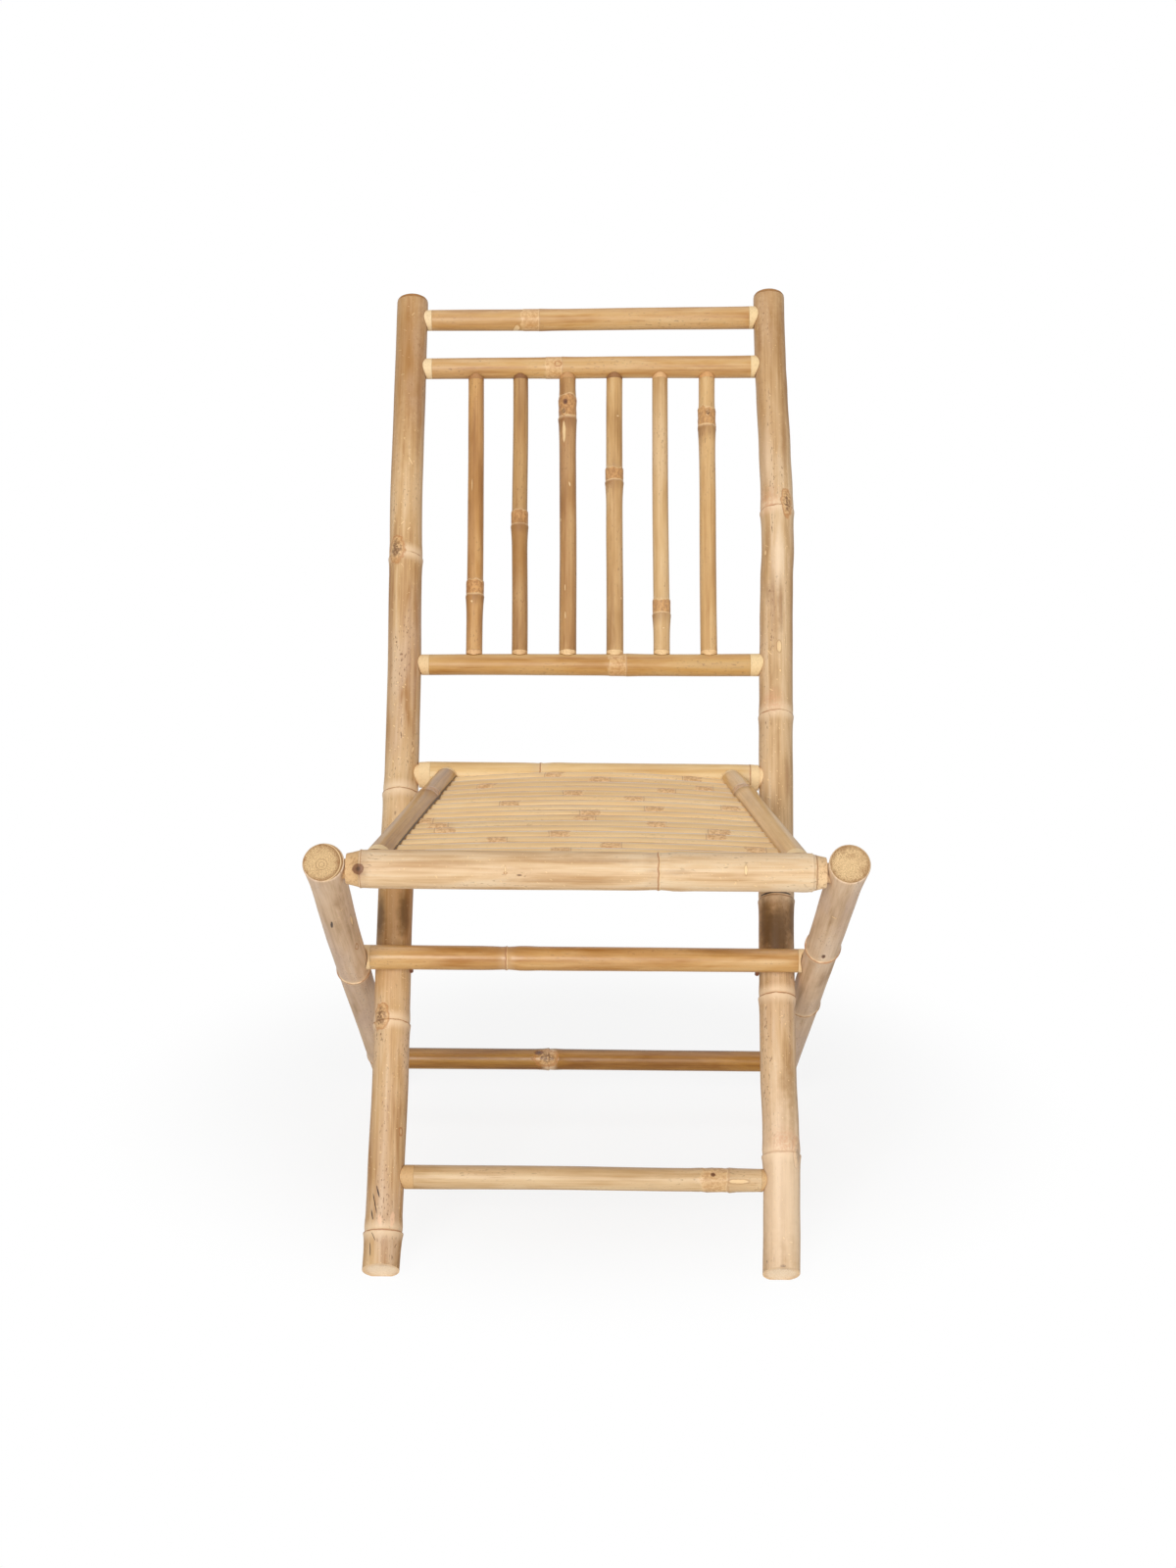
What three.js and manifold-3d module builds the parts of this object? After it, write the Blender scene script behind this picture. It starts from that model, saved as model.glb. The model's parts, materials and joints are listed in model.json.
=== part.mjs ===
// A bamboo folding side chair without arms, in millimetres, with +Z up and its front facing -Y.
// Two long posts run from the top of the back down to the front feet. Two outer poles run from the
// front of the seat down to the rear feet, and cross the posts on the outside. The seat turns on
// round tenons in the posts at its rear rail and in the poles at its front rail. A stretcher between
// the poles bears on the fronts of the posts and stops the frame when it is open.
import * as THREE from "three";
import { mergeVertices } from "three/addons/utils/BufferGeometryUtils.js";
import Module from "manifold-3d";

const wasm = await Module();
wasm.setup();

// Fits
const FIT_GAP = 0.3; // between a piece and what is cut to hold it
const BEARING_GAP = 1.2; // between the mid stretcher and the posts that stop it
const CUT_OVERRUN = 20; // how far a cutting block passes the piece it cuts

// Posts, from the floor up along their leaning axis
const POST_LEAN = 29.15; // degrees from upright
const POST_SPACING = 359;
const POST_FOOT_RADIUS = 17;
const POST_TOP_RADIUS = 15.6;
const POST_LENGTH = { left: 974, right: 983 };
const POST_BOW = { left: 0, right: 6 }; // how far a post bends outwards
const POST_BOW_FROM = 590;
const POST_BOW_TO = 925;
const POST_NODE_SHARES = {
  left: [0.047, 0.243, 0.471, 0.719],
  right: [0.121, 0.268, 0.365, 0.549, 0.764],
};
const FOOT_WEAR = 2; // depth of the small flat worn on the heel of a square-cut foot

// Places of the cross rails along the posts
const FOOT_RAIL_ALONG = { left: 94, right: 95 };
const FOOT_RAIL_RADIUS = 10.7;
const FOOT_RAIL_NODE_SHARES = [0.837];
const LOWER_RAIL_ALONG = { left: 584, right: 587 };
const LOWER_RAIL_RADIUS = 10.4;
const LOWER_RAIL_NODE_SHARES = [0.574];
const UPPER_RAIL_ALONG = { left: 895, right: 901 };
const UPPER_RAIL_RADIUS = 10.8;
const UPPER_RAIL_NODE_SHARES = [0.401];
const TOP_RAIL_ALONG = { left: 948, right: 955 };
const TOP_RAIL_RADIUS = 10.8;
const TOP_RAIL_NODE_SHARES = [0.342];

// Spindles of the back: place across as a share of the post spacing, radius and place of the node
const SPINDLE_ACROSS_SHARES = [-0.306, -0.181, -0.05, 0.072, 0.2, 0.329];
const SPINDLE_RADIUS = [7.9, 7.7, 8.4, 8.2, 8, 8.2];
const SPINDLE_NODE_SHARES = [[0.225], [0.482], [0.885], [0.634], [0.172], [0.85]];

// Seat hinge line, seat depth and rails
const SEAT_HINGE_ALONG = 474;
const SEAT_DEPTH = 311; // between the axes of the rear and front rails
const SEAT_REAR_RADIUS = 12;
const SEAT_REAR_NODE_SHARES = [0.365, 0.935];
const SEAT_FRONT_RADIUS = 16;
const SEAT_FRONT_NODE_SHARES = [0.627];

// Seat surface, measured from the level of the rails' axes
const SLAT_COUNT = 16;
const SLAT_GAP = 0.7;
const SLAT_THICKNESS = 5;
const SLAT_SKIN_RISE = 1.6; // how far the round outer skin stands over the slat's edges
const SLAT_TOP_REAR = 2.6;
const SLAT_TOP_FRONT = 8;
const SLAT_CROWN_REAR = 6;
const SLAT_CROWN_FRONT = 3.4;
const SLAT_END_MARGIN = 7; // slat end beyond the middle of the batten
const SEAT_EDGE_GAP = 0.8; // slats to the two rails

// Battens over the slat ends and bearers under them
const BATTEN_RADIUS = 10.2;
const BATTEN_HEIGHT = 6.5;
const BATTEN_REAR_INSET = { left: 45.5, right: 38.5 }; // from the posts' axes
const BATTEN_FRONT_INSET = { left: 45.5, right: 40.5 }; // from the poles' axes
const BATTEN_REAR_DISTANCE = 7; // the batten's rear end stops this far in front of the rail's axis
const BATTEN_NODE_SHARES = { left: [0.13], right: [0.1] };
const BEARER_RADIUS = 10.4;
const BEARER_HEIGHT = 10;
const BEARER_TENON_RADIUS = 3.2;
const BEARER_TENON_DROP = 4.2; // tenon's axis under the bearer's flat top
const BEARER_TENON_REACH = 7; // how far it enters the rail
const BEARER_NODE_SHARES = [0.45];
const SEAT_PEG_RADIUS = 2.2;
const SEAT_PEG_IN_BATTEN = 3.6;
const SEAT_PEG_SLATS = [1, 8, 14]; // the slats that the pegs pass through, from the rear

// Outer poles, from the axis of the front rail down to the rear feet
const REAR_FOOT_BEHIND = 470; // rear foot centre behind the posts' line at the floor
const POLE_TOP_RADIUS = 15.4;
const POLE_PASS_GAP = 1.6; // between the thickest parts of a post and the pole that passes it
const POLE_SPACING = POST_SPACING + 2 * (POST_FOOT_RADIUS + POLE_TOP_RADIUS + POLE_PASS_GAP);
const POLE_FOOT_RADIUS = 14;
const POLE_OVERHANG = { left: 14, right: 21 }; // beyond the front rail's axis
const POLE_FLARE = 1.7; // swelling at the top end
const POLE_FLARE_REACH = 40;
const POLE_NODE_SHARES = { left: [0.45, 0.85], right: [0.327, 0.583] };

// Stretchers between the poles
const MID_STRETCHER_RADIUS = 11;
const MID_STRETCHER_RISE = 3.6; // over the poles' axes
const MID_STRETCHER_NODE_SHARES = [0.33];
const REAR_STRETCHER_RADIUS = 11;
const REAR_STRETCHER_DOWN = 585; // from the front rail's axis along the pole
const REAR_STRETCHER_NODE_SHARES = [0.398];
const GUIDE_PEG_RADIUS = 2;
const GUIDE_PEG_LENGTH = 15;
const GUIDE_PEG_DEPTH = 5; // its inner end, from the stretcher's axis
const GUIDE_PEG_TILT = 30; // degrees from straight down, towards the back
const GUIDE_PEG_GAP = 1; // between the peg and the post's widest place

// Tenons and whittled ends
const RAIL_TENON_RADIUS = 6.5;
const RAIL_TENON_PAST_AXIS = 4;
const SPINDLE_TENON_RADIUS = 4.6;
const SPINDLE_TENON_PAST_AXIS = 1.5;
const WHITTLE_REACH = 8; // length of the whittled zone beside a joint
const WHITTLE_SHARE = 0.9; // radius left at the joint
const REAR_TENON_RADIUS = 7.4;
const FRONT_TENON_RADIUS = 8.2;
const HINGE_TENON_PAST_AXIS = 5;
const HINGE_CONE_REACH = 5; // how far the rear rail's cone enters the post
const HINGE_CONE_RADIUS = 10.4; // the cone where it meets the post
const SHOULDER_GAP = 0.5; // between a turning shoulder and the culm it stands against
const FRONT_SHOULDER_SHARE = 0.84; // radius left at the front rail's shoulder

// Nodes of the culms: reach and rise as shares of the radius, and the ring's profile as shares
// of that reach and rise
const NODE_REACH_SHARE = 0.5;
const NODE_RISE_SHARE = 0.045;
const NODE_PROFILE_SHARES = [
  [-1, 0],
  [-0.25, 1],
  [0, 0.35],
  [0.25, 0.85],
  [1, 0],
];

// Faces round each kind of piece
const POST_SIDES = 16;
const RAIL_SIDES = 14;
const SPINDLE_SIDES = 10;
const PEG_SIDES = 8;
const BOW_STEPS = 6;
const SLAT_STEPS = 8;
const SKIN_STEPS = 3;

const UP = new THREE.Vector3(0, 0, 1);
const BACK = new THREE.Vector3(0, 1, 0);
const ACROSS = new THREE.Vector3(1, 0, 0);
const SIDES = { left: -1, right: 1 };
const CORNERS_PER_FACE = 3;

// Side view: directions and points
const lean = THREE.MathUtils.degToRad(POST_LEAN);
const postDirection = new THREE.Vector3(0, Math.sin(lean), Math.cos(lean));
const postFront = new THREE.Vector3(0, -Math.cos(lean), Math.sin(lean));
const seatRear = postDirection.clone().multiplyScalar(SEAT_HINGE_ALONG);
const seatFront = seatRear.clone().addScaledVector(BACK, -SEAT_DEPTH);
const rearFoot = new THREE.Vector3(0, REAR_FOOT_BEHIND, 0);
const poleLength = rearFoot.distanceTo(seatFront);
const poleDirection = rearFoot.clone().sub(seatFront).normalize();
const poleUpper = new THREE.Vector3(0, -poleDirection.z, poleDirection.y);
const rearStretcher = polePoint(REAR_STRETCHER_DOWN, 0);
const midStretcher = findMidStretcher();

const poleStuff = bamboo(0xcaa377, 0.5);
const postStuff = bamboo(0xd3a972, 0.48);
const railStuff = bamboo(0xcf9f62, 0.46);
const spindleStuff = bamboo(0xc6965a, 0.46);
const slatStuff = bamboo(0xdab071, 0.42);
const battenStuff = bamboo(0xbd9160, 0.45);
const pegStuff = bamboo(0x7d4a2c, 0.6);

function bamboo(color, roughness) {
  return new THREE.MeshStandardMaterial({ color, roughness, metalness: 0 });
}

function postPoint(along, across) {
  return postDirection.clone().multiplyScalar(along).setX(across);
}

function polePoint(along, across) {
  return seatFront.clone().addScaledVector(poleDirection, along).setX(across);
}

function postRadiusAt(along) {
  return THREE.MathUtils.lerp(POST_FOOT_RADIUS, POST_TOP_RADIUS, along / POST_LENGTH.left);
}

// The mid stretcher lies above the poles' axes, where it just reaches the fronts of the posts
function findMidStretcher() {
  const raised = seatFront.clone().addScaledVector(poleUpper, MID_STRETCHER_RISE);
  const closing = -poleDirection.dot(postFront);
  let along = raised.dot(postFront) / closing;
  for (let pass = 0; pass < 3; pass += 1) {
    const crossing = raised.clone().addScaledVector(poleDirection, along);
    const reach = postRadiusAt(crossing.dot(postDirection)) + MID_STRETCHER_RADIUS + BEARING_GAP;
    along = (raised.dot(postFront) - reach) / closing;
  }
  return raised.addScaledVector(poleDirection, along);
}

// The placement that lays local Z from start to end with local Y turned towards `facing`
function placement(start, end, facing) {
  const z = end.clone().sub(start).normalize();
  const x = facing.clone().cross(z).normalize();
  const y = z.clone().cross(x);
  return new THREE.Matrix4().makeBasis(x, y, z).setPosition(start);
}

function toSolid(geometry, matrix) {
  const bare = geometry.clone();
  bare.deleteAttribute("normal");
  bare.deleteAttribute("uv");
  bare.applyMatrix4(matrix);
  const merged = mergeVertices(bare);
  const corners = merged.index.array;
  const kept = [];
  for (let i = 0; i < corners.length; i += CORNERS_PER_FACE) {
    const [a, b, c] = corners.slice(i, i + CORNERS_PER_FACE);
    if (a !== b && b !== c && c !== a) kept.push(a, b, c);
  }
  return new wasm.Manifold(
    new wasm.Mesh({
      numProp: CORNERS_PER_FACE,
      vertProperties: merged.attributes.position.array,
      triVerts: new Uint32Array(kept),
    }),
  );
}

function toGeometry(solid) {
  const mesh = solid.getMesh();
  const geometry = new THREE.BufferGeometry();
  const positions = new THREE.BufferAttribute(mesh.vertProperties, CORNERS_PER_FACE);
  geometry.setAttribute("position", positions);
  geometry.setIndex(new THREE.BufferAttribute(mesh.triVerts, 1));
  return geometry;
}

// A round body turned from a list of [distance, radius], with its axis along local Z
function turned(profile, sides) {
  const points = profile.map(([along, radius]) => new THREE.Vector2(radius, along));
  const first = points[0];
  const last = points[points.length - 1];
  points.unshift(new THREE.Vector2(0, first.y));
  points.push(new THREE.Vector2(0, last.y));
  return new THREE.LatheGeometry(points, sides).rotateX(Math.PI / 2);
}

// The rows of a culm's profile: plain ends and the rings at its nodes
function culmProfile({ length, radii, nodeShares, extraRows = [] }) {
  const plain = (along) => THREE.MathUtils.lerp(radii[0], radii[1], along / length);
  const rows = extraRows.map(([along, rise]) => [along, plain(along) + rise]);
  for (const share of nodeShares) {
    const middle = share * length;
    const radius = plain(middle);
    for (const [reachShare, riseShare] of NODE_PROFILE_SHARES) {
      const along = middle + reachShare * radius * NODE_REACH_SHARE;
      rows.push([along, plain(along) + riseShare * radius * NODE_RISE_SHARE]);
    }
  }
  rows.sort((a, b) => a[0] - b[0]);
  const inside = rows.filter(([along]) => along > 0 && along < length);
  return [[0, plain(0) + riseAtEnd(extraRows, 0)], ...inside, [length, plain(length)]];
}

function riseAtEnd(extraRows, along) {
  const row = extraRows.find((entry) => entry[0] === along);
  return row ? row[1] : 0;
}

function grown(profile, gap) {
  return profile.map(([along, radius]) => [along, radius + gap]);
}

// Bends a geometry along local Z sideways, by a smooth bow between two distances
function bowed(geometry, amount, from, to) {
  const position = geometry.attributes.position;
  for (let i = 0; i < position.count; i += 1) {
    const share = THREE.MathUtils.clamp((position.getZ(i) - from) / (to - from), 0, 1);
    const shift = amount * Math.sin(Math.PI * share) ** 2;
    position.setX(i, position.getX(i) + shift);
  }
  return geometry;
}

// A culm from start to end: its solid, and the grown solid that neighbours are cut with
function makeCulm({ start, end, facing, radii, nodeShares, sides, extraRows, bow }) {
  const matrix = placement(start, end, facing);
  const length = start.distanceTo(end);
  const profile = culmProfile({ length, radii, nodeShares, extraRows });
  const bend = bow ?? { amount: 0, from: 0, to: length };
  const shape = (gap) =>
    toSolid(bowed(turned(grown(profile, gap), sides), bend.amount, bend.from, bend.to), matrix);
  return { matrix, solid: shape(0), envelope: shape(FIT_GAP) };
}

// A round tenon or peg between two points, and the socket that holds it
function makePeg(start, end, radius) {
  const length = start.distanceTo(end);
  const matrix = placement(start, end, Math.abs(end.x - start.x) > length / 2 ? UP : ACROSS);
  const profile = [
    [0, radius],
    [length, radius],
  ];
  const socket = [
    [-FIT_GAP, radius + FIT_GAP],
    [length + FIT_GAP, radius + FIT_GAP],
  ];
  return {
    matrix,
    solid: toSolid(turned(profile, PEG_SIDES), matrix),
    socket: toSolid(turned(socket, PEG_SIDES), matrix),
  };
}

// Sits one end of a rail on a host culm: a fish-mouth cut, and a round tenon in a blind socket
function seatEnd(rail, host, onAxis, inward, tenonRadius, pastAxis) {
  const tip = onAxis.clone().addScaledVector(inward, -pastAxis);
  const root = onAxis.clone().addScaledVector(inward, CUT_OVERRUN + pastAxis);
  const tenon = makePeg(root, tip, tenonRadius);
  rail.solid = rail.solid.subtract(host.envelope).add(tenon.solid);
  host.solid = host.solid.subtract(tenon.socket);
}

// A block that cuts away all that lies on one side of a plane through `point`
function cuttingBlock(point, normal, facing) {
  const size = 2 * SEAT_DEPTH;
  const block = new THREE.BoxGeometry(size, size, size).translate(0, 0, size / 2);
  return toSolid(block, placement(point, point.clone().add(normal), facing));
}

function addPiece(group, name, piece, material) {
  const toLocal = piece.matrix.clone().invert();
  const geometry = toGeometry(piece.solid).applyMatrix4(toLocal);
  geometry.computeVertexNormals();
  const mesh = new THREE.Mesh(geometry, material);
  mesh.name = name;
  mesh.applyMatrix4(group.matrixWorld.clone().invert().multiply(piece.matrix));
  group.add(mesh);
}

function makeGroup(parent, name, place) {
  const group = new THREE.Group();
  group.name = name;
  group.position.copy(place);
  parent.add(group);
  group.updateWorldMatrix(true, false);
  return group;
}

// Back frame: posts
function makePost(side) {
  const across = (SIDES[side] * POST_SPACING) / 2;
  const cut = (POST_FOOT_RADIUS * Math.sin(lean) - FOOT_WEAR) / Math.cos(lean);
  const bowRows = [];
  if (POST_BOW[side] !== 0) {
    for (let step = 0; step <= BOW_STEPS; step += 1) {
      bowRows.push([THREE.MathUtils.lerp(POST_BOW_FROM, POST_BOW_TO, step / BOW_STEPS) - cut, 0]);
    }
  }
  const post = makeCulm({
    start: postPoint(cut, across),
    end: postPoint(POST_LENGTH[side], across),
    facing: BACK,
    radii: [POST_FOOT_RADIUS, POST_TOP_RADIUS],
    nodeShares: POST_NODE_SHARES[side],
    sides: POST_SIDES,
    extraRows: bowRows,
    bow: {
      amount: SIDES[side] * POST_BOW[side],
      from: POST_BOW_FROM - cut,
      to: POST_BOW_TO - cut,
    },
  });
  const floor = cuttingBlock(new THREE.Vector3(across, 0, 0), UP.clone().negate(), BACK);
  post.solid = post.solid.subtract(floor);
  return post;
}

// The radius of a rail falls off beside its joints, where it was whittled to fit
function whittledRows(length, radius, hostRadius) {
  const joint = hostRadius * WHITTLE_SHARE;
  const loss = -radius * (1 - WHITTLE_SHARE);
  return [
    [joint, loss],
    [hostRadius + WHITTLE_REACH, 0],
    [length - hostRadius - WHITTLE_REACH, 0],
    [length - joint, loss],
  ];
}

function postBowAt(side, along) {
  const share = THREE.MathUtils.clamp((along - POST_BOW_FROM) / (POST_BOW_TO - POST_BOW_FROM), 0, 1);
  return SIDES[side] * POST_BOW[side] * Math.sin(Math.PI * share) ** 2;
}

function makeBackRail(posts, along, radius, nodeShares) {
  const ends = {};
  for (const side of Object.keys(SIDES)) {
    const across = (SIDES[side] * POST_SPACING) / 2 + postBowAt(side, along[side]);
    ends[side] = postPoint(along[side], across);
  }
  const rail = makeCulm({
    start: ends.left,
    end: ends.right,
    facing: UP,
    radii: [radius, radius],
    nodeShares,
    sides: RAIL_SIDES,
    extraRows: whittledRows(ends.left.distanceTo(ends.right), radius, postRadiusAt(along.left)),
  });
  const inward = ends.right.clone().sub(ends.left).normalize();
  seatEnd(rail, posts.left, ends.left, inward, RAIL_TENON_RADIUS, RAIL_TENON_PAST_AXIS);
  inward.negate();
  seatEnd(rail, posts.right, ends.right, inward, RAIL_TENON_RADIUS, RAIL_TENON_PAST_AXIS);
  return rail;
}

// The point on a back rail's axis that lies at a place across
function railPoint(along, across) {
  const share = (across + POST_SPACING / 2) / POST_SPACING;
  return postPoint(THREE.MathUtils.lerp(along.left, along.right, share), across);
}

function makeSpindle(lower, upper, across, radius, nodeShares) {
  const foot = railPoint(LOWER_RAIL_ALONG, across);
  const head = railPoint(UPPER_RAIL_ALONG, across);
  const spindle = makeCulm({
    start: foot,
    end: head,
    facing: BACK,
    radii: [radius, radius],
    nodeShares,
    sides: SPINDLE_SIDES,
    extraRows: whittledRows(foot.distanceTo(head), radius, LOWER_RAIL_RADIUS),
  });
  const upward = head.clone().sub(foot).normalize();
  seatEnd(spindle, lower, foot, upward, SPINDLE_TENON_RADIUS, SPINDLE_TENON_PAST_AXIS);
  upward.negate();
  seatEnd(spindle, upper, head, upward, SPINDLE_TENON_RADIUS, SPINDLE_TENON_PAST_AXIS);
  return spindle;
}

// Seat: a turning rail with a whittled shoulder and a round tenon at each end
function makeHingeRail({ middle, spacing, hostRadius, radius, nodeShares, tenonRadius, cone }) {
  const half = spacing / 2 + HINGE_TENON_PAST_AXIS;
  const length = 2 * half;
  const shoulder = half - spacing / 2 + hostRadius + SHOULDER_GAP;
  const body = culmProfile({
    length,
    radii: [radius, radius],
    nodeShares,
    extraRows: [],
  }).filter(([along]) => along > shoulder + WHITTLE_REACH && along < length - shoulder - WHITTLE_REACH);
  const start = [
    [0, tenonRadius],
    [shoulder - cone.reach, tenonRadius],
    [shoulder, cone.radius],
    [shoulder + WHITTLE_REACH, radius],
  ];
  const end = start.map(([along, width]) => [length - along, width]).reverse();
  const profile = [...start, ...body, ...end];
  const from = middle.clone().setX(-half);
  const to = middle.clone().setX(half);
  const matrix = placement(from, to, UP);
  const socket = grown(profile, FIT_GAP);
  socket[0][0] -= FIT_GAP;
  socket[socket.length - 1][0] += FIT_GAP;
  return {
    matrix,
    solid: toSolid(turned(profile, RAIL_SIDES), matrix),
    envelope: toSolid(turned(socket, RAIL_SIDES), matrix),
  };
}

function seatTop(share) {
  return THREE.MathUtils.lerp(SLAT_TOP_REAR, SLAT_TOP_FRONT, share);
}

// A point of the seat's surface line: share 0 at the rear rail's axis, 1 at the front rail's axis
function seatPoint(share, across, above) {
  return seatRear
    .clone()
    .lerp(seatFront, share)
    .add(new THREE.Vector3(across, 0, seatTop(share) + above));
}

const seatForward = seatPoint(1, 0, 0).sub(seatPoint(0, 0, 0)).normalize();
const seatNormal = ACROSS.clone().cross(seatForward).negate();

function battenAcross(side, share) {
  const rear = POST_SPACING / 2 - BATTEN_REAR_INSET[side];
  const front = POLE_SPACING / 2 - BATTEN_FRONT_INSET[side];
  return THREE.MathUtils.lerp(rear, front, share);
}

const slatRearShare = (SEAT_REAR_RADIUS + SEAT_EDGE_GAP) / SEAT_DEPTH;
const slatFrontShare = 1 - (SEAT_FRONT_RADIUS + SEAT_EDGE_GAP) / SEAT_DEPTH;

// The place of a slat between the two rails, as a share of the seat's depth
function slatShare(index) {
  return THREE.MathUtils.lerp(slatRearShare, slatFrontShare, (index + 1 / 2) / SLAT_COUNT);
}

// A slat: a split strip with its round skin up, sprung over the middle bearer
function makeSlat(index) {
  const share = slatShare(index);
  const width = (SEAT_DEPTH * (slatFrontShare - slatRearShare)) / SLAT_COUNT - SLAT_GAP;
  const crown = THREE.MathUtils.lerp(SLAT_CROWN_REAR, SLAT_CROWN_FRONT, share);
  const left = -battenAcross("left", share) - SLAT_END_MARGIN;
  const right = battenAcross("right", share) + SLAT_END_MARGIN;
  const length = right - left;
  const clamped = SLAT_END_MARGIN + BATTEN_RADIUS;
  const section = new THREE.Shape();
  section.moveTo(-width / 2, -SLAT_THICKNESS);
  section.lineTo(width / 2, -SLAT_THICKNESS);
  section.lineTo(width / 2, -SLAT_SKIN_RISE);
  section.quadraticCurveTo(0, SLAT_SKIN_RISE, -width / 2, -SLAT_SKIN_RISE);
  const geometry = new THREE.ExtrudeGeometry(section, {
    depth: length,
    steps: SLAT_STEPS,
    curveSegments: SKIN_STEPS,
    bevelEnabled: false,
  });
  const position = geometry.attributes.position;
  const span = length / 2 - clamped;
  for (let i = 0; i < position.count; i += 1) {
    const step = Math.round((position.getZ(i) / length) * SLAT_STEPS);
    const fromMiddle = THREE.MathUtils.clamp((step - SLAT_STEPS / 2) / (SLAT_STEPS / 2 - 1), -1, 1);
    const inside = step > 0 && step < SLAT_STEPS;
    if (inside) position.setZ(i, length / 2 + span * fromMiddle);
    position.setY(i, position.getY(i) + crown * (1 - fromMiddle ** 2));
  }
  const matrix = placement(seatPoint(share, left, 0), seatPoint(share, right, 0), seatNormal);
  return { matrix, solid: toSolid(geometry, matrix) };
}

// A batten: the split top of a culm that clamps the slat ends
function makeBatten(side, rear, front) {
  const sign = SIDES[side];
  const sunk = BATTEN_HEIGHT - BATTEN_RADIUS + FIT_GAP;
  const startShare = BATTEN_REAR_DISTANCE / SEAT_DEPTH;
  const from = seatPoint(startShare, sign * battenAcross(side, startShare), sunk);
  const to = seatPoint(1, sign * battenAcross(side, 1), sunk);
  const batten = makeCulm({
    start: from,
    end: to,
    facing: UP,
    radii: [BATTEN_RADIUS, BATTEN_RADIUS],
    nodeShares: BATTEN_NODE_SHARES[side],
    sides: RAIL_SIDES,
  });
  const below = cuttingBlock(seatPoint(1 / 2, 0, FIT_GAP), seatNormal.clone().negate(), ACROSS);
  batten.solid = batten.solid.subtract(below).subtract(rear.envelope).subtract(front.envelope);
  return batten;
}

// A bearer: a split culm, flat side up, with a small tenon in each rail
function makeBearer(acrossRear, acrossFront, crown, rear, front) {
  const top = -SLAT_THICKNESS - FIT_GAP;
  const rise = (share) => top + THREE.MathUtils.lerp(crown.rear, crown.front, share);
  const place = (share, above) =>
    seatPoint(share, THREE.MathUtils.lerp(acrossRear, acrossFront, share), rise(share) + above);
  const bearer = makeCulm({
    start: place(0, BEARER_RADIUS - BEARER_HEIGHT),
    end: place(1, BEARER_RADIUS - BEARER_HEIGHT),
    facing: UP,
    radii: [BEARER_RADIUS, BEARER_RADIUS],
    nodeShares: BEARER_NODE_SHARES,
    sides: RAIL_SIDES,
  });
  const slope = place(1, 0).sub(place(0, 0)).setX(0).normalize();
  const above = cuttingBlock(place(1 / 2, 0), slope.clone().cross(ACROSS), ACROSS);
  bearer.solid = bearer.solid.subtract(above).subtract(rear.envelope).subtract(front.envelope);
  const rearReach = (SEAT_REAR_RADIUS - BEARER_TENON_REACH) / SEAT_DEPTH;
  const frontReach = 1 - (SEAT_FRONT_RADIUS - BEARER_TENON_REACH) / SEAT_DEPTH;
  const rearRoot = rearReach + (CUT_OVERRUN + BEARER_TENON_REACH) / SEAT_DEPTH;
  const frontRoot = frontReach - (CUT_OVERRUN + BEARER_TENON_REACH) / SEAT_DEPTH;
  const joints = [
    { tip: rearReach, root: rearRoot, rail: rear },
    { tip: frontReach, root: frontRoot, rail: front },
  ];
  for (const { tip, root, rail } of joints) {
    const tenon = makePeg(
      place(root, -BEARER_TENON_DROP),
      place(tip, -BEARER_TENON_DROP),
      BEARER_TENON_RADIUS,
    );
    bearer.solid = bearer.solid.add(tenon.solid);
    rail.solid = rail.solid.subtract(tenon.socket);
  }
  return bearer;
}

// A peg driven from below through a bearer and a slat into the batten
function makeSeatPeg(side, index, holders) {
  const share = slatShare(index);
  const across = SIDES[side] * battenAcross(side, share);
  const bottom = -SLAT_THICKNESS - FIT_GAP - BEARER_HEIGHT + FIT_GAP;
  const peg = makePeg(
    seatPoint(share, across, bottom),
    seatPoint(share, across, SEAT_PEG_IN_BATTEN),
    SEAT_PEG_RADIUS,
  );
  for (const holder of holders) {
    holder.solid = holder.solid.subtract(peg.socket);
  }
  return peg;
}

// Leg frame: poles
function makePole(side) {
  const across = (SIDES[side] * POLE_SPACING) / 2;
  const overhang = POLE_OVERHANG[side];
  const length = overhang + poleLength + CUT_OVERRUN;
  const pole = makeCulm({
    start: polePoint(-overhang, across),
    end: polePoint(poleLength + CUT_OVERRUN, across),
    facing: poleUpper,
    radii: [POLE_TOP_RADIUS, POLE_FOOT_RADIUS],
    nodeShares: POLE_NODE_SHARES[side],
    sides: POST_SIDES,
    extraRows: [
      [0, POLE_FLARE],
      [POLE_FLARE_REACH / 2, POLE_FLARE / 2],
      [POLE_FLARE_REACH, 0],
    ],
  });
  const floor = cuttingBlock(new THREE.Vector3(across, REAR_FOOT_BEHIND, 0), UP.clone().negate(), BACK);
  pole.solid = pole.solid.subtract(floor);
  return pole;
}

function makeStretcher(middle, radius, nodeShares, poles) {
  const half = POLE_SPACING / 2;
  const start = middle.clone().setX(-half);
  const end = middle.clone().setX(half);
  const stretcher = makeCulm({
    start,
    end,
    facing: UP,
    radii: [radius, radius],
    nodeShares,
    sides: RAIL_SIDES,
    extraRows: whittledRows(POLE_SPACING, radius, POLE_FOOT_RADIUS),
  });
  seatEnd(stretcher, poles.left, start, ACROSS, RAIL_TENON_RADIUS, RAIL_TENON_PAST_AXIS);
  const inward = ACROSS.clone().negate();
  seatEnd(stretcher, poles.right, end, inward, RAIL_TENON_RADIUS, RAIL_TENON_PAST_AXIS);
  return stretcher;
}

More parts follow.
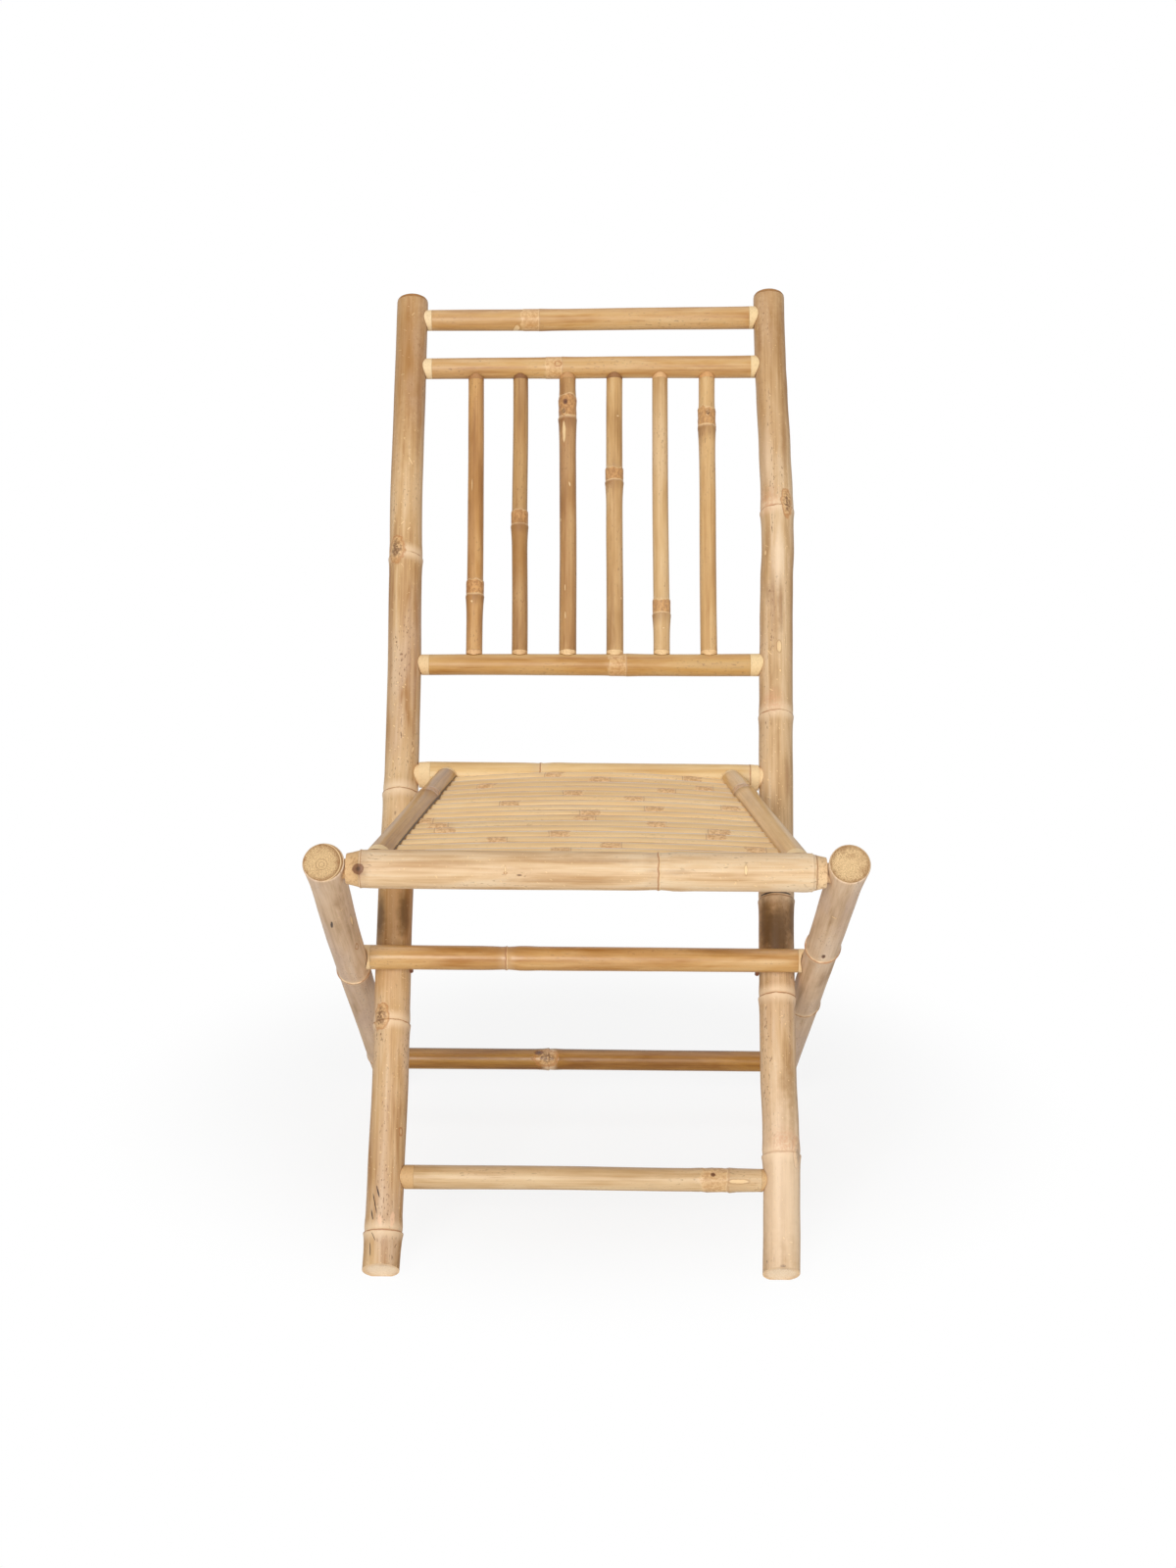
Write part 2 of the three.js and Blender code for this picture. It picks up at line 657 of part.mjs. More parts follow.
// A peg in the mid stretcher that keeps the leg frame from shifting sideways on a post
function makeGuidePeg(side, stretcher) {
  const postRadius = postRadiusAt(midStretcher.dot(postDirection));
  const inside = POST_SPACING / 2 - postRadius - GUIDE_PEG_GAP - GUIDE_PEG_RADIUS;
  const tilt = THREE.MathUtils.degToRad(GUIDE_PEG_TILT);
  const direction = new THREE.Vector3(0, Math.sin(tilt), -Math.cos(tilt));
  const axis = midStretcher.clone().setX(SIDES[side] * inside);
  const root = axis.clone().addScaledVector(direction, GUIDE_PEG_DEPTH);
  const tip = axis.clone().addScaledVector(direction, GUIDE_PEG_DEPTH + GUIDE_PEG_LENGTH);
  const peg = makePeg(root, tip, GUIDE_PEG_RADIUS);
  stretcher.solid = stretcher.solid.subtract(peg.socket);
  return peg;
}

function buildBackFrame(root) {
  const group = makeGroup(root, "back_frame", new THREE.Vector3());
  const posts = { left: makePost("left"), right: makePost("right") };
  const footRail = makeBackRail(posts, FOOT_RAIL_ALONG, FOOT_RAIL_RADIUS, FOOT_RAIL_NODE_SHARES);
  const lower = makeBackRail(posts, LOWER_RAIL_ALONG, LOWER_RAIL_RADIUS, LOWER_RAIL_NODE_SHARES);
  const upper = makeBackRail(posts, UPPER_RAIL_ALONG, UPPER_RAIL_RADIUS, UPPER_RAIL_NODE_SHARES);
  const top = makeBackRail(posts, TOP_RAIL_ALONG, TOP_RAIL_RADIUS, TOP_RAIL_NODE_SHARES);
  SPINDLE_ACROSS_SHARES.forEach((acrossShare, i) => {
    const across = acrossShare * POST_SPACING;
    const nodeShares = SPINDLE_NODE_SHARES[i];
    const spindle = makeSpindle(lower, upper, across, SPINDLE_RADIUS[i], nodeShares);
    addPiece(group, `back_spindle_${i + 1}`, spindle, spindleStuff);
  });
  addPiece(group, "foot_rail", footRail, railStuff);
  addPiece(group, "back_rail_lower", lower, railStuff);
  addPiece(group, "back_rail_upper", upper, railStuff);
  addPiece(group, "back_rail_top", top, railStuff);
  return { group, posts };
}

function buildSeat(root, posts, poles) {
  const group = makeGroup(root, "seat", seatRear);
  const rear = makeHingeRail({
    middle: seatRear,
    spacing: POST_SPACING,
    hostRadius: postRadiusAt(SEAT_HINGE_ALONG),
    radius: SEAT_REAR_RADIUS,
    nodeShares: SEAT_REAR_NODE_SHARES,
    tenonRadius: REAR_TENON_RADIUS,
    cone: { reach: HINGE_CONE_REACH, radius: HINGE_CONE_RADIUS },
  });
  const front = makeHingeRail({
    middle: seatFront,
    spacing: POLE_SPACING,
    hostRadius: POLE_TOP_RADIUS + POLE_FLARE,
    radius: SEAT_FRONT_RADIUS,
    nodeShares: SEAT_FRONT_NODE_SHARES,
    tenonRadius: FRONT_TENON_RADIUS,
    cone: { reach: 0, radius: SEAT_FRONT_RADIUS * FRONT_SHOULDER_SHARE },
  });
  posts.left.solid = posts.left.solid.subtract(rear.envelope);
  posts.right.solid = posts.right.solid.subtract(rear.envelope);
  poles.left.solid = poles.left.solid.subtract(front.envelope);
  poles.right.solid = poles.right.solid.subtract(front.envelope);
  const flat = { rear: 0, front: 0 };
  const crown = { rear: SLAT_CROWN_REAR, front: SLAT_CROWN_FRONT };
  const slats = [];
  for (let i = 0; i < SLAT_COUNT; i += 1) {
    slats.push(makeSlat(i));
  }
  const middleBearer = makeBearer(0, 0, crown, rear, front);
  addPiece(group, "seat_bearer_middle", middleBearer, railStuff);
  for (const side of Object.keys(SIDES)) {
    const sign = SIDES[side];
    const [acrossRear, acrossFront] = [battenAcross(side, 0), battenAcross(side, 1)];
    const bearer = makeBearer(sign * acrossRear, sign * acrossFront, flat, rear, front);
    const batten = makeBatten(side, rear, front);
    SEAT_PEG_SLATS.forEach((index, i) => {
      const peg = makeSeatPeg(side, index, [bearer, slats[index], batten]);
      addPiece(group, `seat_peg_${side}_${i + 1}`, peg, pegStuff);
    });
    addPiece(group, `seat_bearer_${side}`, bearer, railStuff);
    addPiece(group, `seat_batten_${side}`, batten, battenStuff);
  }
  slats.forEach((slat, i) => {
    addPiece(group, `seat_slat_${String(i + 1).padStart(2, "0")}`, slat, slatStuff);
  });
  addPiece(group, "seat_rear_rail", rear, railStuff);
  addPiece(group, "seat_front_rail", front, postStuff);
}

function buildLegFrame(root, poles) {
  const group = makeGroup(root, "leg_frame", seatFront);
  const mid = makeStretcher(midStretcher, MID_STRETCHER_RADIUS, MID_STRETCHER_NODE_SHARES, poles);
  const rear = makeStretcher(rearStretcher, REAR_STRETCHER_RADIUS, REAR_STRETCHER_NODE_SHARES, poles);
  for (const side of Object.keys(SIDES)) {
    addPiece(group, `guide_peg_${side}`, makeGuidePeg(side, mid), pegStuff);
  }
  addPiece(group, "mid_stretcher", mid, railStuff);
  addPiece(group, "rear_stretcher", rear, railStuff);
  addPiece(group, "leg_pole_left", poles.left, poleStuff);
  addPiece(group, "leg_pole_right", poles.right, poleStuff);
}

const chair = new THREE.Group();
chair.name = "bamboo_folding_chair";
const backFrame = buildBackFrame(chair);
const poles = { left: makePole("left"), right: makePole("right") };
buildSeat(chair, backFrame.posts, poles);
buildLegFrame(chair, poles);
addPiece(backFrame.group, "back_post_left", backFrame.posts.left, postStuff);
addPiece(backFrame.group, "back_post_right", backFrame.posts.right, postStuff);

// The origin is the middle of the chair's box, on the floor
const box = new THREE.Box3().setFromObject(chair, true);
const middle = box.getCenter(new THREE.Vector3());
chair.position.set(-middle.x, -middle.y, -box.min.z);

export default chair;
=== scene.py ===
import json
import math
import random

import bmesh
import bpy
from mathutils import Euler, Matrix, Vector, noise


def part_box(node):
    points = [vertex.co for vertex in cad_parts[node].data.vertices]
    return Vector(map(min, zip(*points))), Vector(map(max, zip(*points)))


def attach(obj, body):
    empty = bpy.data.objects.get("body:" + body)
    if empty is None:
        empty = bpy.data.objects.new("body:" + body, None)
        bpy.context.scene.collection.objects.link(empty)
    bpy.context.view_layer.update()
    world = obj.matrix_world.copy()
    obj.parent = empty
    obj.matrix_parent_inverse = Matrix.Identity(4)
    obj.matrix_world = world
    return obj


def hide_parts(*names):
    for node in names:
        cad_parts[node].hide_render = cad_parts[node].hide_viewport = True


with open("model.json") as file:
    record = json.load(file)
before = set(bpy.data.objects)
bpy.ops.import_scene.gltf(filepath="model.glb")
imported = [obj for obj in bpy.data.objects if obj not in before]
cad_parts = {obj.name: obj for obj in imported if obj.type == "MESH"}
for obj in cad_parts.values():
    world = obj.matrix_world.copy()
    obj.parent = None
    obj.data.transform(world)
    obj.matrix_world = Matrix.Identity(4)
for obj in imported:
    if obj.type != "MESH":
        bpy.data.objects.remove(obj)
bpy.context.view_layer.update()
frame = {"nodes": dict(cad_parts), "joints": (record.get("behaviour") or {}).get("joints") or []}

# Everything is in metres in the chair's frame: +Z up, the front faces -Y. Sizes below are in
# millimetres.
MM = 0.001
UP = Vector((0, 0, 1))
BACK = Vector((0, 1, 0))
ACROSS = Vector((1, 0, 0))
SIDES = {"left": -1, "right": 1}
JOINT_GAP = 0.25 * MM

# Side view of the frame
joint_places = {joint["name"]: Vector(joint["pos_m"]) for joint in frame["joints"]}
POST_LEAN = math.radians(29.15)
HINGE_ALONG = 474
REAR_FOOT_BEHIND = 470
post_up = Vector((0, math.sin(POST_LEAN), math.cos(POST_LEAN)))
post_front = Vector((0, -math.cos(POST_LEAN), math.sin(POST_LEAN)))
seat_rear = joint_places["seat_fold"]
seat_front = joint_places["leg_fold"]
post_foot = seat_rear - post_up * HINGE_ALONG * MM
rear_foot = post_foot + BACK * REAR_FOOT_BEHIND * MM
pole_down = (rear_foot - seat_front).normalized()
pole_top_side = Vector((0, -pole_down.z, pole_down.y))
POLE_LENGTH = (rear_foot - seat_front).length / MM

# Posts: half spacing, radii, and how each natural culm strays sideways, as (along, across) pairs
POST_HALF_SPACING = 179.5
POST_RADII = (17.0, 15.6)
POST_LENGTH = {"left": 974, "right": 983}
POST_STRAY = {
    "left": [(0, -1.2), (53, 0.4), (97, 0.9), (186, 2.4), (313, 1.8), (360, 1.9), (484, 3.8),
             (562, 3.5), (673, 1.7), (765, 0), (870, 0.2), (974, 0.2)],
    "right": [(0, 0.2), (56, 1.2), (100, 1.8), (144, 1.5), (189, 0.1), (317, 0), (363, 0.6), (487, 1.9),
              (566, 2.9), (625, 3.9), (674, 5.1), (706, 6.6), (768, 6.3), (810, 5.0), (873, 2.9),
              (901, 1.8), (955, 1.2), (983, 1.2)],
}
POLE_HALF_SPACING = 213.5
POLE_RADII = (15.4, 13.9)


def eased(x):
    return x * x * (3 - 2 * x)


def between(table, x):
    """The value at x of a table of (x, value) pairs, with smooth steps between them."""
    if x <= table[0][0]:
        return table[0][1]
    for (x0, v0), (x1, v1) in zip(table, table[1:]):
        if x <= x1:
            return v0 + (v1 - v0) * eased((x - x0) / (x1 - x0))
    return table[-1][1]


def post_across(side, along):
    return SIDES[side] * POST_HALF_SPACING + between(POST_STRAY[side], along)


def post_point(side, along):
    return post_foot + post_up * along * MM + ACROSS * post_across(side, along) * MM


def post_radius(along):
    return POST_RADII[0] + (POST_RADII[1] - POST_RADII[0]) * along / POST_LENGTH["left"]


def pole_point(along, across):
    return seat_front + pole_down * along * MM + ACROSS * across * MM


def pole_radius(along):
    return POLE_RADII[0] + (POLE_RADII[1] - POLE_RADII[0]) * along / POLE_LENGTH


def middle_of(node):
    low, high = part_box(node)
    return (low + high) / 2


# Finishes

def srgb(red, green, blue):
    """A colour as it looks on a screen, 0 to 255, as the shader's own numbers."""
    parts = [part / 255 for part in (red, green, blue)]
    return tuple(p / 12.92 if p <= 0.04045 else ((p + 0.055) / 1.055) ** 2.4 for p in parts) + (1,)


def tones(*colours):
    """Colours of one table row, each given as red, green and blue."""
    return tuple(srgb(*colour) for colour in colours)


class Wire:
    """An output socket on which sums are written as on numbers."""

    def __init__(self, finish, socket):
        self.finish = finish
        self.socket = socket

    def sum(self, operation, *values):
        numbered = dict(enumerate(values))
        return self.finish.node("ShaderNodeMath", {"operation": operation}, numbered)

    def __add__(self, other):
        return self.sum("ADD", self, other)

    def __sub__(self, other):
        return self.sum("SUBTRACT", self, other)

    def __mul__(self, other):
        return self.sum("MULTIPLY", self, other)

    def __rsub__(self, other):
        return self.sum("SUBTRACT", other, self)

    __radd__ = __add__
    __rmul__ = __mul__

    def size(self):
        return self.sum("ABSOLUTE", self)

    def most(self, other):
        return self.sum("MAXIMUM", self, other)

    def step(self, start, end):
        """0 before start, 1 after end, and smooth between. A start past the end runs down."""
        low, high = min(start, end), max(start, end)
        first, last = (0, 1) if start < end else (1, 0)
        sockets = {"Value": self, "From Min": low, "From Max": high, "To Min": first, "To Max": last}
        return self.finish.node("ShaderNodeMapRange", {"interpolation_type": "SMOOTHSTEP"}, sockets)


class Finish:
    """A material, or a world, whose nodes are made from here."""

    def __init__(self, name, world=False):
        self.material = (bpy.data.worlds if world else bpy.data.materials).new(name)
        self.material.use_nodes = True
        self.tree = self.material.node_tree
        self.tree.nodes.clear()

    def node(self, kind, settings, sockets, output=0):
        made = self.tree.nodes.new(kind)
        for key, value in settings.items():
            if key == "stops":
                ramp = made.color_ramp
                while len(ramp.elements) < len(value):
                    ramp.elements.new(1)
                for element, (place, colour) in zip(ramp.elements, value):
                    element.position = place
                    element.color = colour
            else:
                setattr(made, key, value)
        for key, value in sockets.items():
            if isinstance(value, Wire):
                self.tree.links.new(value.socket, made.inputs[key])
            else:
                made.inputs[key].default_value = value
        return Wire(self, made.outputs[output]) if made.outputs else None

    def attribute(self, name, output):
        return self.node("ShaderNodeAttribute", {"attribute_name": name}, {}, output)

    def mapped(self, vector, location=(0, 0, 0), rotation=(0, 0, 0), scale=(1, 1, 1), kind="POINT"):
        sockets = {"Vector": vector, "Location": location, "Rotation": rotation, "Scale": scale}
        return self.node("ShaderNodeMapping", {"vector_type": kind}, sockets)

    def noise(self, vector, scale, seed=0.0, detail=2.0, roughness=0.5, distortion=0.0):
        placed = self.mapped(vector, (seed, seed * 1.7, seed * 0.6), scale=scale)
        sockets = {"Vector": placed, "Scale": 1, "Detail": detail, "Roughness": roughness,
                   "Distortion": distortion}
        return self.node("ShaderNodeTexNoise", {}, sockets)

    def length(self, vector):
        return self.node("ShaderNodeVectorMath", {"operation": "LENGTH"}, {0: vector}, 1)

    def part(self, vector, axis):
        return self.node("ShaderNodeSeparateXYZ", {}, {0: vector}, axis)

    def mix(self, first, second, share):
        sockets = {0: share, 6: first, 7: second}
        return self.node("ShaderNodeMix", {"data_type": "RGBA"}, sockets, 2)

    def coat(self, colour, *layers):
        """A colour under layers, given as (tint, share)."""
        for tint, share in layers:
            colour = self.mix(colour, tint, share)
        return colour

    def ramp(self, value, stops):
        return self.node("ShaderNodeValToRGB", {"stops": stops}, {"Fac": value})

    def spot(self, grain, radius, angle, along, width, length, slant=0):
        """Distance from the middle of a mark on a culm, 1 at its edge. Its place is an angle round the
        culm and a length along it, its size a width and a length, and it may be slanted."""
        place = (radius * MM * math.cos(angle), radius * MM * math.sin(angle), along * MM)
        scale = (MARK_DEPTH * width * MM, width * MM, length * MM)
        return self.length(self.mapped(grain, place, (slant, 0, angle), scale, "TEXTURE"))

    def surface(self, colour, roughness, height):
        bump = self.node("ShaderNodeBump", {}, {"Height": height, "Distance": MM, "Strength": 1.0})
        sockets = {"Base Color": colour, "Roughness": roughness, "Normal": bump}
        shader = self.node("ShaderNodeBsdfPrincipled", {}, sockets)
        self.node("ShaderNodeOutputMaterial", {}, {"Surface": shader})
        return self.material


CREAM = srgb(240, 208, 158)
HAZE = srgb(238, 208, 170)
SCAR_RED = srgb(158, 96, 52)
SCORCH = srgb(142, 94, 48)
LILAC = srgb(198, 168, 148)
SPECK = srgb(118, 76, 40)
RUST = srgb(198, 134, 76)
BLACK = srgb(54, 34, 24)
CHIPPED = srgb(240, 206, 154)
OLIVE = srgb(176, 142, 86)
# Painted shade along one long edge of a slat's skin, and a painted reflection of the white surroundings
# over its other half
PAINTED_EDGE_SHADE = srgb(174, 120, 60)
PAINTED_FLANK_REFLECTION = srgb(242, 222, 202)

# How deep a mark reaches into the culm, as a share of its width
MARK_DEPTH = 4
# Half the length over which the whittled colour changes from one end's to the other's
TIP_CHANGE = 10
# A slat's flanks get their painted shade and reflection above this depth only, so that its underside
# stays plain
SLAT_SKIN = (-4.6, -3.6)

# How the nodes of each kind of culm are coloured: band length in millimetres, band colours, and the
# shares of the band, of its pale edges, of the red line, of the pale haze round it and of the smoke
# under it
NODE_LOOKS = {
    "post": (9, (CREAM, CREAM), 0.0, 0.35, 0.8, 0.75, 0.15),
    "rail": (16, (srgb(232, 194, 142), srgb(196, 144, 90)), 0.6, 0.35, 0.35, 0.0, 0.1),
    "spindle": (15, (srgb(214, 160, 100), srgb(164, 110, 62)), 0.7, 0.6, 0.45, 0.0, 0.7),
    "pinch": (3, (CREAM, RUST), 0.0, 0.6, 0.8, 0.2, 0.3),
    "slat": (17, (srgb(236, 192, 136), srgb(186, 130, 70)), 0.8, 0.2, 0.45, 0.0, 0.1),
}


def paint_nodes(f, colour, grain, form, patch, jitter, seed):
    """The old leaf line at each node with its pale edges, and the band up to the next line."""
    length, tints, band_share, edge_share, line_share, haze_share, smoke_share = NODE_LOOKS[form]
    place = f.attribute("node_gap", "Fac")
    near = f.attribute("node_near", "Fac")
    gap = place + jitter * (1.2 * MM) + (patch - 0.5) * (3 * MM)
    smoke = gap.step(-15 * MM, -1 * MM) * gap.step(-0.1 * MM, -0.9 * MM) * patch.step(0.35, 0.6)
    haze = gap.size().step(11 * MM, 1.5 * MM) * near
    colour = f.coat(colour, (SCORCH, smoke * near * smoke_share), (HAZE, haze * haze_share))
    edge = gap.size().step(1.5 * MM, 0.5 * MM)
    if band_share:
        mottle = f.noise(grain, (380, 380, 300), seed + 9, 4, 0.72).step(0.38, 0.62)
        ragged = f.noise(grain, (120, 120, 120), seed + 23, 3, 0.6) - 0.5
        far = gap - length * MM + ragged * (14 * MM)
        band = gap.step(0.1 * MM, 0.9 * MM) * far.step(0.6 * MM, -0.6 * MM) * near
        colour = f.mix(colour, f.mix(*tints, mottle), band * band_share)
        edge = edge + far.size().step(1.0 * MM, 0.2 * MM) * 0.8
    line = (gap + 0.5 * MM).size().step(0.9 * MM, 0.25 * MM) * patch.step(0.28, 0.42) * near
    return f.coat(colour, (CREAM, edge * near * edge_share), (SCAR_RED, line * line_share)), line


# Marks that only tint a culm. A wash has a colour, the distances at which it starts and is full, where
# 1 is the mark's edge, its share, and what the mottle adds to that. A patch has a colour, the same
# distances, the levels of the mottle between which it comes in, and its share.
WASHES = {
    "smear": (srgb(240, 196, 158), 1.1, 0.6, 0.7, 0),
    "pale": (srgb(242, 214, 180), 1.4, 0.2, 0.4, 0.6),
    "tan": (srgb(166, 116, 52), 1.4, 0.4, 0.26, 0),
    # A shade is painted shade on the posts, under the seat, along an edge and at the top; on the second
    # spindle it darkens the culm below its node
    "shade": (srgb(160, 108, 40), 1.4, 0.2, 0.55, 0),
    # A smoke is a dark stain deepened with painted shade, under the seat and along the top of the rear
    # stretcher
    "smoke": (srgb(88, 56, 6), 1.3, 0.3, 0.45, 0.55),
}
PATCHES = {
    "blush": (srgb(214, 158, 118), 1.3, 0.2, 0.3, 0.65, 0.6),
    "stain": (srgb(146, 100, 56), 1.3, 0.1, 0.25, 0.7, 0.7),
}
# Tints that follow the long streaks of the culm. The others follow a fine mottle.
VEINED = ("stain", "shade", "smoke", "pale")


def paint_mark(f, colour, height, away, kind, rough):
    """One mark of a culm: a bud with its oval ring, a knot, a chip, a crack, a ring or a tint."""
    if kind in WASHES:
        tint, outer, inner, share, gain = WASHES[kind]
        level = rough * gain + share if gain else share
        return f.mix(colour, tint, away.step(outer, inner) * level), height
    if kind in PATCHES:
        tint, outer, inner, low, high, share = PATCHES[kind]
        return f.mix(colour, tint, away.step(outer, inner) * rough.step(low, high) * share), height
    inside = away.step(1.05, 0.8)
    if kind == "bud":
        rim = (away - 0.92).size().step(0.14, 0.03)
        heart = away.step(0.8, 0.3)
        wrinkles = f.mix(srgb(222, 178, 122), srgb(184, 132, 76), rough.step(0.4, 0.6))
        layers = [
            (wrinkles, inside * 0.75),
            (srgb(112, 76, 44), heart * rough.step(0.34, 0.56) * 0.85),
            (srgb(182, 122, 66), rim * 0.6),
        ]
        height = height - rim * 0.3 + heart * rough * 0.5
    elif kind == "knot":
        layers = [(srgb(112, 66, 36), inside * 0.85), (srgb(60, 34, 20), away.step(0.6, 0.2) * 0.7)]
        height = height - inside * 0.5
    elif kind == "chip":
        rim = (away - 1.1).size().step(0.3, 0.1)
        layers = [(srgb(170, 118, 66), rim * 0.35), (CHIPPED, inside * 0.85)]
        height = height - inside * 0.2
    elif kind == "crack":
        layers = [(BLACK, inside * 0.95)]
        height = height - inside * 0.5
    else:
        rim = (away - 0.8).size().step(0.28, 0.1)
        layers = [(srgb(176, 116, 62), rim * 0.75)]
        height = height - rim * 0.15
    return f.coat(colour, *layers), height


def bamboo_skin(name, colours, seed, form="rail", gloss=0.38, lilac=0.15, scorch=0.3, specks=0.4,
                chips=0.0, radius=11, marks=(), tips=(CREAM, CREAM), middle_along=0.2, tip_rough=0.3,
                contrast=1.0, flank=0):
    """The outside of a culm: soft streaks, blotches, stipple, chips, rings at the nodes and bare ends.
    A split strip has a flank, half its width, with a brown rear edge of painted shade and a pale front
    of painted reflection."""
    deep, middle, pale = colours
    f = Finish(name)
    grain = f.attribute("grain", "Vector")
    along = f.part(grain, 2)
    end_gap = f.attribute("end_gap", "Fac")
    fibre = f.noise(grain, (800, 800, 14), seed, 2)
    streak = f.noise(grain, (170, 170, 5), seed + 3, 4, 0.6)
    patch = f.noise(grain, (58, 58, 11), seed + 7, 3, 0.6, 0.4)
    cloud = f.noise(grain, (24, 24, 7), seed + 11, 2)
    jitter = f.noise(grain, (190, 190, 190), seed + 5, 2) - 0.5

    tone = (streak - 0.5) * 0.9 + (fibre - 0.5) * 0.3 + (patch - 0.5) * 0.9 + (cloud - 0.5) * 0.5
    tone = tone * contrast + 0.5
    scorched = patch.step(0.52, 0.7) * cloud.step(0.45, 0.65) * streak.step(0.4, 0.62) * scorch
    cluster = patch.step(0.45, 0.65)
    freckle = f.noise(grain, (700, 700, 230), seed + 13, 1).step(0.62, 0.7) * cluster
    scratch = f.noise(grain, (420, 420, 16), seed + 17, 2, 0.7).step(0.66, 0.74)
    colour = f.coat(
        f.ramp(tone, [(0.22, deep), (0.5, middle), (0.78, pale)]),
        (SCORCH, scorched),
        (LILAC, cloud.step(0.62, 0.36) * patch.step(0.35, 0.6) * lilac),
        (OLIVE, cloud.step(0.36, 0.2) * streak.step(0.4, 0.6) * 0.4),
        (SPECK, freckle * specks),
        (deep, scratch * 0.6),
    )
    height = fibre * 0.04 + streak * 0.10 + freckle * -0.06 + jitter * 0.12
    if flank:
        over = f.part(grain, 0)
        skin_side = f.part(grain, 1).step(SLAT_SKIN[0] * MM, SLAT_SKIN[1] * MM)
        # Painted light on a slat: shade along one long edge and a pale reflection over the other half of
        # its skin
        rear = over.step(-0.8 * flank * MM, -0.95 * flank * MM)
        front = (over + (patch - 0.5) * (3 * MM)).step(0.02 * flank * MM, 0.24 * flank * MM)
        colour = f.coat(colour, (PAINTED_EDGE_SHADE, rear * skin_side * 0.85),
                        (PAINTED_FLANK_REFLECTION, front * skin_side * 0.9))
    if chips:
        flecks = (1 / 620, 1 / 620, 1 / 170)
        slanted = f.mapped(grain, (seed, 0, 0), (0.75, 0.55, 0.3), flecks, "TEXTURE")
        chip = f.noise(slanted, (1, 1, 1), seed, 0).step(0.765, 0.795)
        colour = f.mix(colour, CHIPPED, chip * chips)
        height = height - chip * 0.1

    colour, line = paint_nodes(f, colour, grain, form, patch, jitter, seed)
    bare = (end_gap + jitter * (0.2 * MM)).step(0.2 * MM, -0.2 * MM)
    tip = f.mix(*tips, along.step(middle_along - TIP_CHANGE * MM, middle_along + TIP_CHANGE * MM))
    rough = f.noise(grain, (420, 420, 420), seed + 19, 3, 0.7)
    carved = f.mix(tip, f.mix(tip, SCORCH, 0.45), rough.step(0.48, 0.68) * tip_rough)
    colour = f.mix(colour, carved, bare)
    height = height - line * 0.15 - bare * 0.45
    for kind, *mark in marks:
        away = f.spot(grain, radius, *mark) + jitter * 0.6
        colour, height = paint_mark(f, colour, height, away, kind, streak if kind in VEINED else rough)
    roughness = gloss + streak * 0.12 + bare * 0.2 + scorched * 0.1
    return f.surface(colour, roughness, height)


def end_grain(name, radius, pale, rim, seed, rings=(), blotches=0.4):
    """A culm cut across: specks of the fibre bundles, crowded and darker towards the skin, and rings
    at shares of the radius."""
    f = Finish(name)
    grain = f.attribute("grain", "Vector")
    flat = f.mapped(grain, scale=(1 / (radius * MM), 1 / (radius * MM), 0))
    out = f.length(flat)
    eye = f.mapped(flat, (0.06, 0.1, 0))
    ring_out = f.length(eye)
    blotch = f.noise(grain, (90, 90, 90), seed, 4, 0.6)
    speck = f.noise(grain, (1300, 1300, 1300), seed + 2, 2)
    saw = f.mapped(grain, rotation=(0, 0, 0.5), scale=(2600, 240, 1))
    cut = f.noise(saw, (1, 1, 1), seed + 4, 1)
    wavy = out + (blotch - 0.5) * 0.3
    colour = f.coat(
        pale,
        (rim, wavy.step(0.66, 1.0) * 0.85),
        (rim, speck.step(0.44, 0.6) * (0.3 + wavy * 0.55)),
        (SCORCH, blotch.step(0.54, 0.72) * blotches),
        (CREAM, cut.step(0.5, 0.7) * 0.25),
    )
    for ring in rings:
        line = (ring_out + (blotch - 0.5) * 0.1 - ring).size().step(0.035, 0.0)
        colour = f.mix(colour, rim, line * 0.5)
    colour = f.mix(colour, CREAM, (out - 0.965).size().step(0.035, 0.01) * 0.7)
    height = speck * -0.10 + blotch * 0.15
    return f.surface(colour, 0.72 + speck * 0.1, height)


# A node's outline in each kind of culm: millimetres along the culm from the lip, and rise as a share of
# the radius
NODE_FORMS = {
    "post": [
        (-16, 0), (-8, 0.012), (-3.5, 0.03), (-1.2, 0.048), (-0.4, 0.046), (0.2, 0.014), (1, 0.004),
        (3, 0.014), (6, 0.02), (10, 0.012), (16, 0)],
    "rail": [
        (-24, 0), (-13, 0.018), (-6, 0.045), (-1.5, 0.065), (-0.2, 0.062), (0.8, 0.045), (3, 0.04),
        (6, 0.042), (9, 0.04), (12, 0.045), (14.8, 0.048), (15.8, 0.035), (16.8, 0.006), (22, 0)],
    "spindle": [
        (-26, 0), (-16, 0.02), (-9, 0.055), (-4, 0.09), (-1.3, 0.125), (-0.3, 0.12), (0.7, 0.085),
        (2.5, 0.075), (5, 0.085), (7.5, 0.08), (10, 0.085), (12.5, 0.09), (14.2, 0.085), (15, 0.06),
        (15.8, 0.01), (21, 0)],
    "pinch": [
        (-22, 0), (-12, -0.02), (-5, -0.045), (-2, -0.05), (-0.8, -0.02), (0, 0.012), (0.8, -0.02),
        (2, -0.05), (6, -0.03), (12, 0.02), (18, 0.03), (30, 0)],
}
ROW_STEP = 7.0
BUD_STEP = 2.0
CULM_SIDES = 56
THIN_SIDES = 40
# Node colours end this far from the lip, and slanted rings are level this far from the culm's ends
NODE_REACH = 28
SLANT_FADE = 40
# How oval a culm is, as a share of its radius, and how often its lumps and its line change in a metre
OVAL = 0.007
LUMP_RATE = 22
STRAY_RATE = 6
# Knobby nodes: the part of the culm from the lip that they cover, how fine the lumps are, and how high
KNOBBY_BAND = (-3, 17)
KNOBBY_RATE = 330
KNOBBY_RISE = 0.09
# How far marks stand out, and the share of that which is too little to see
MARK_RISES = {"bud": 0.9, "knot": -0.5}
LEAST_RISE = 0.02
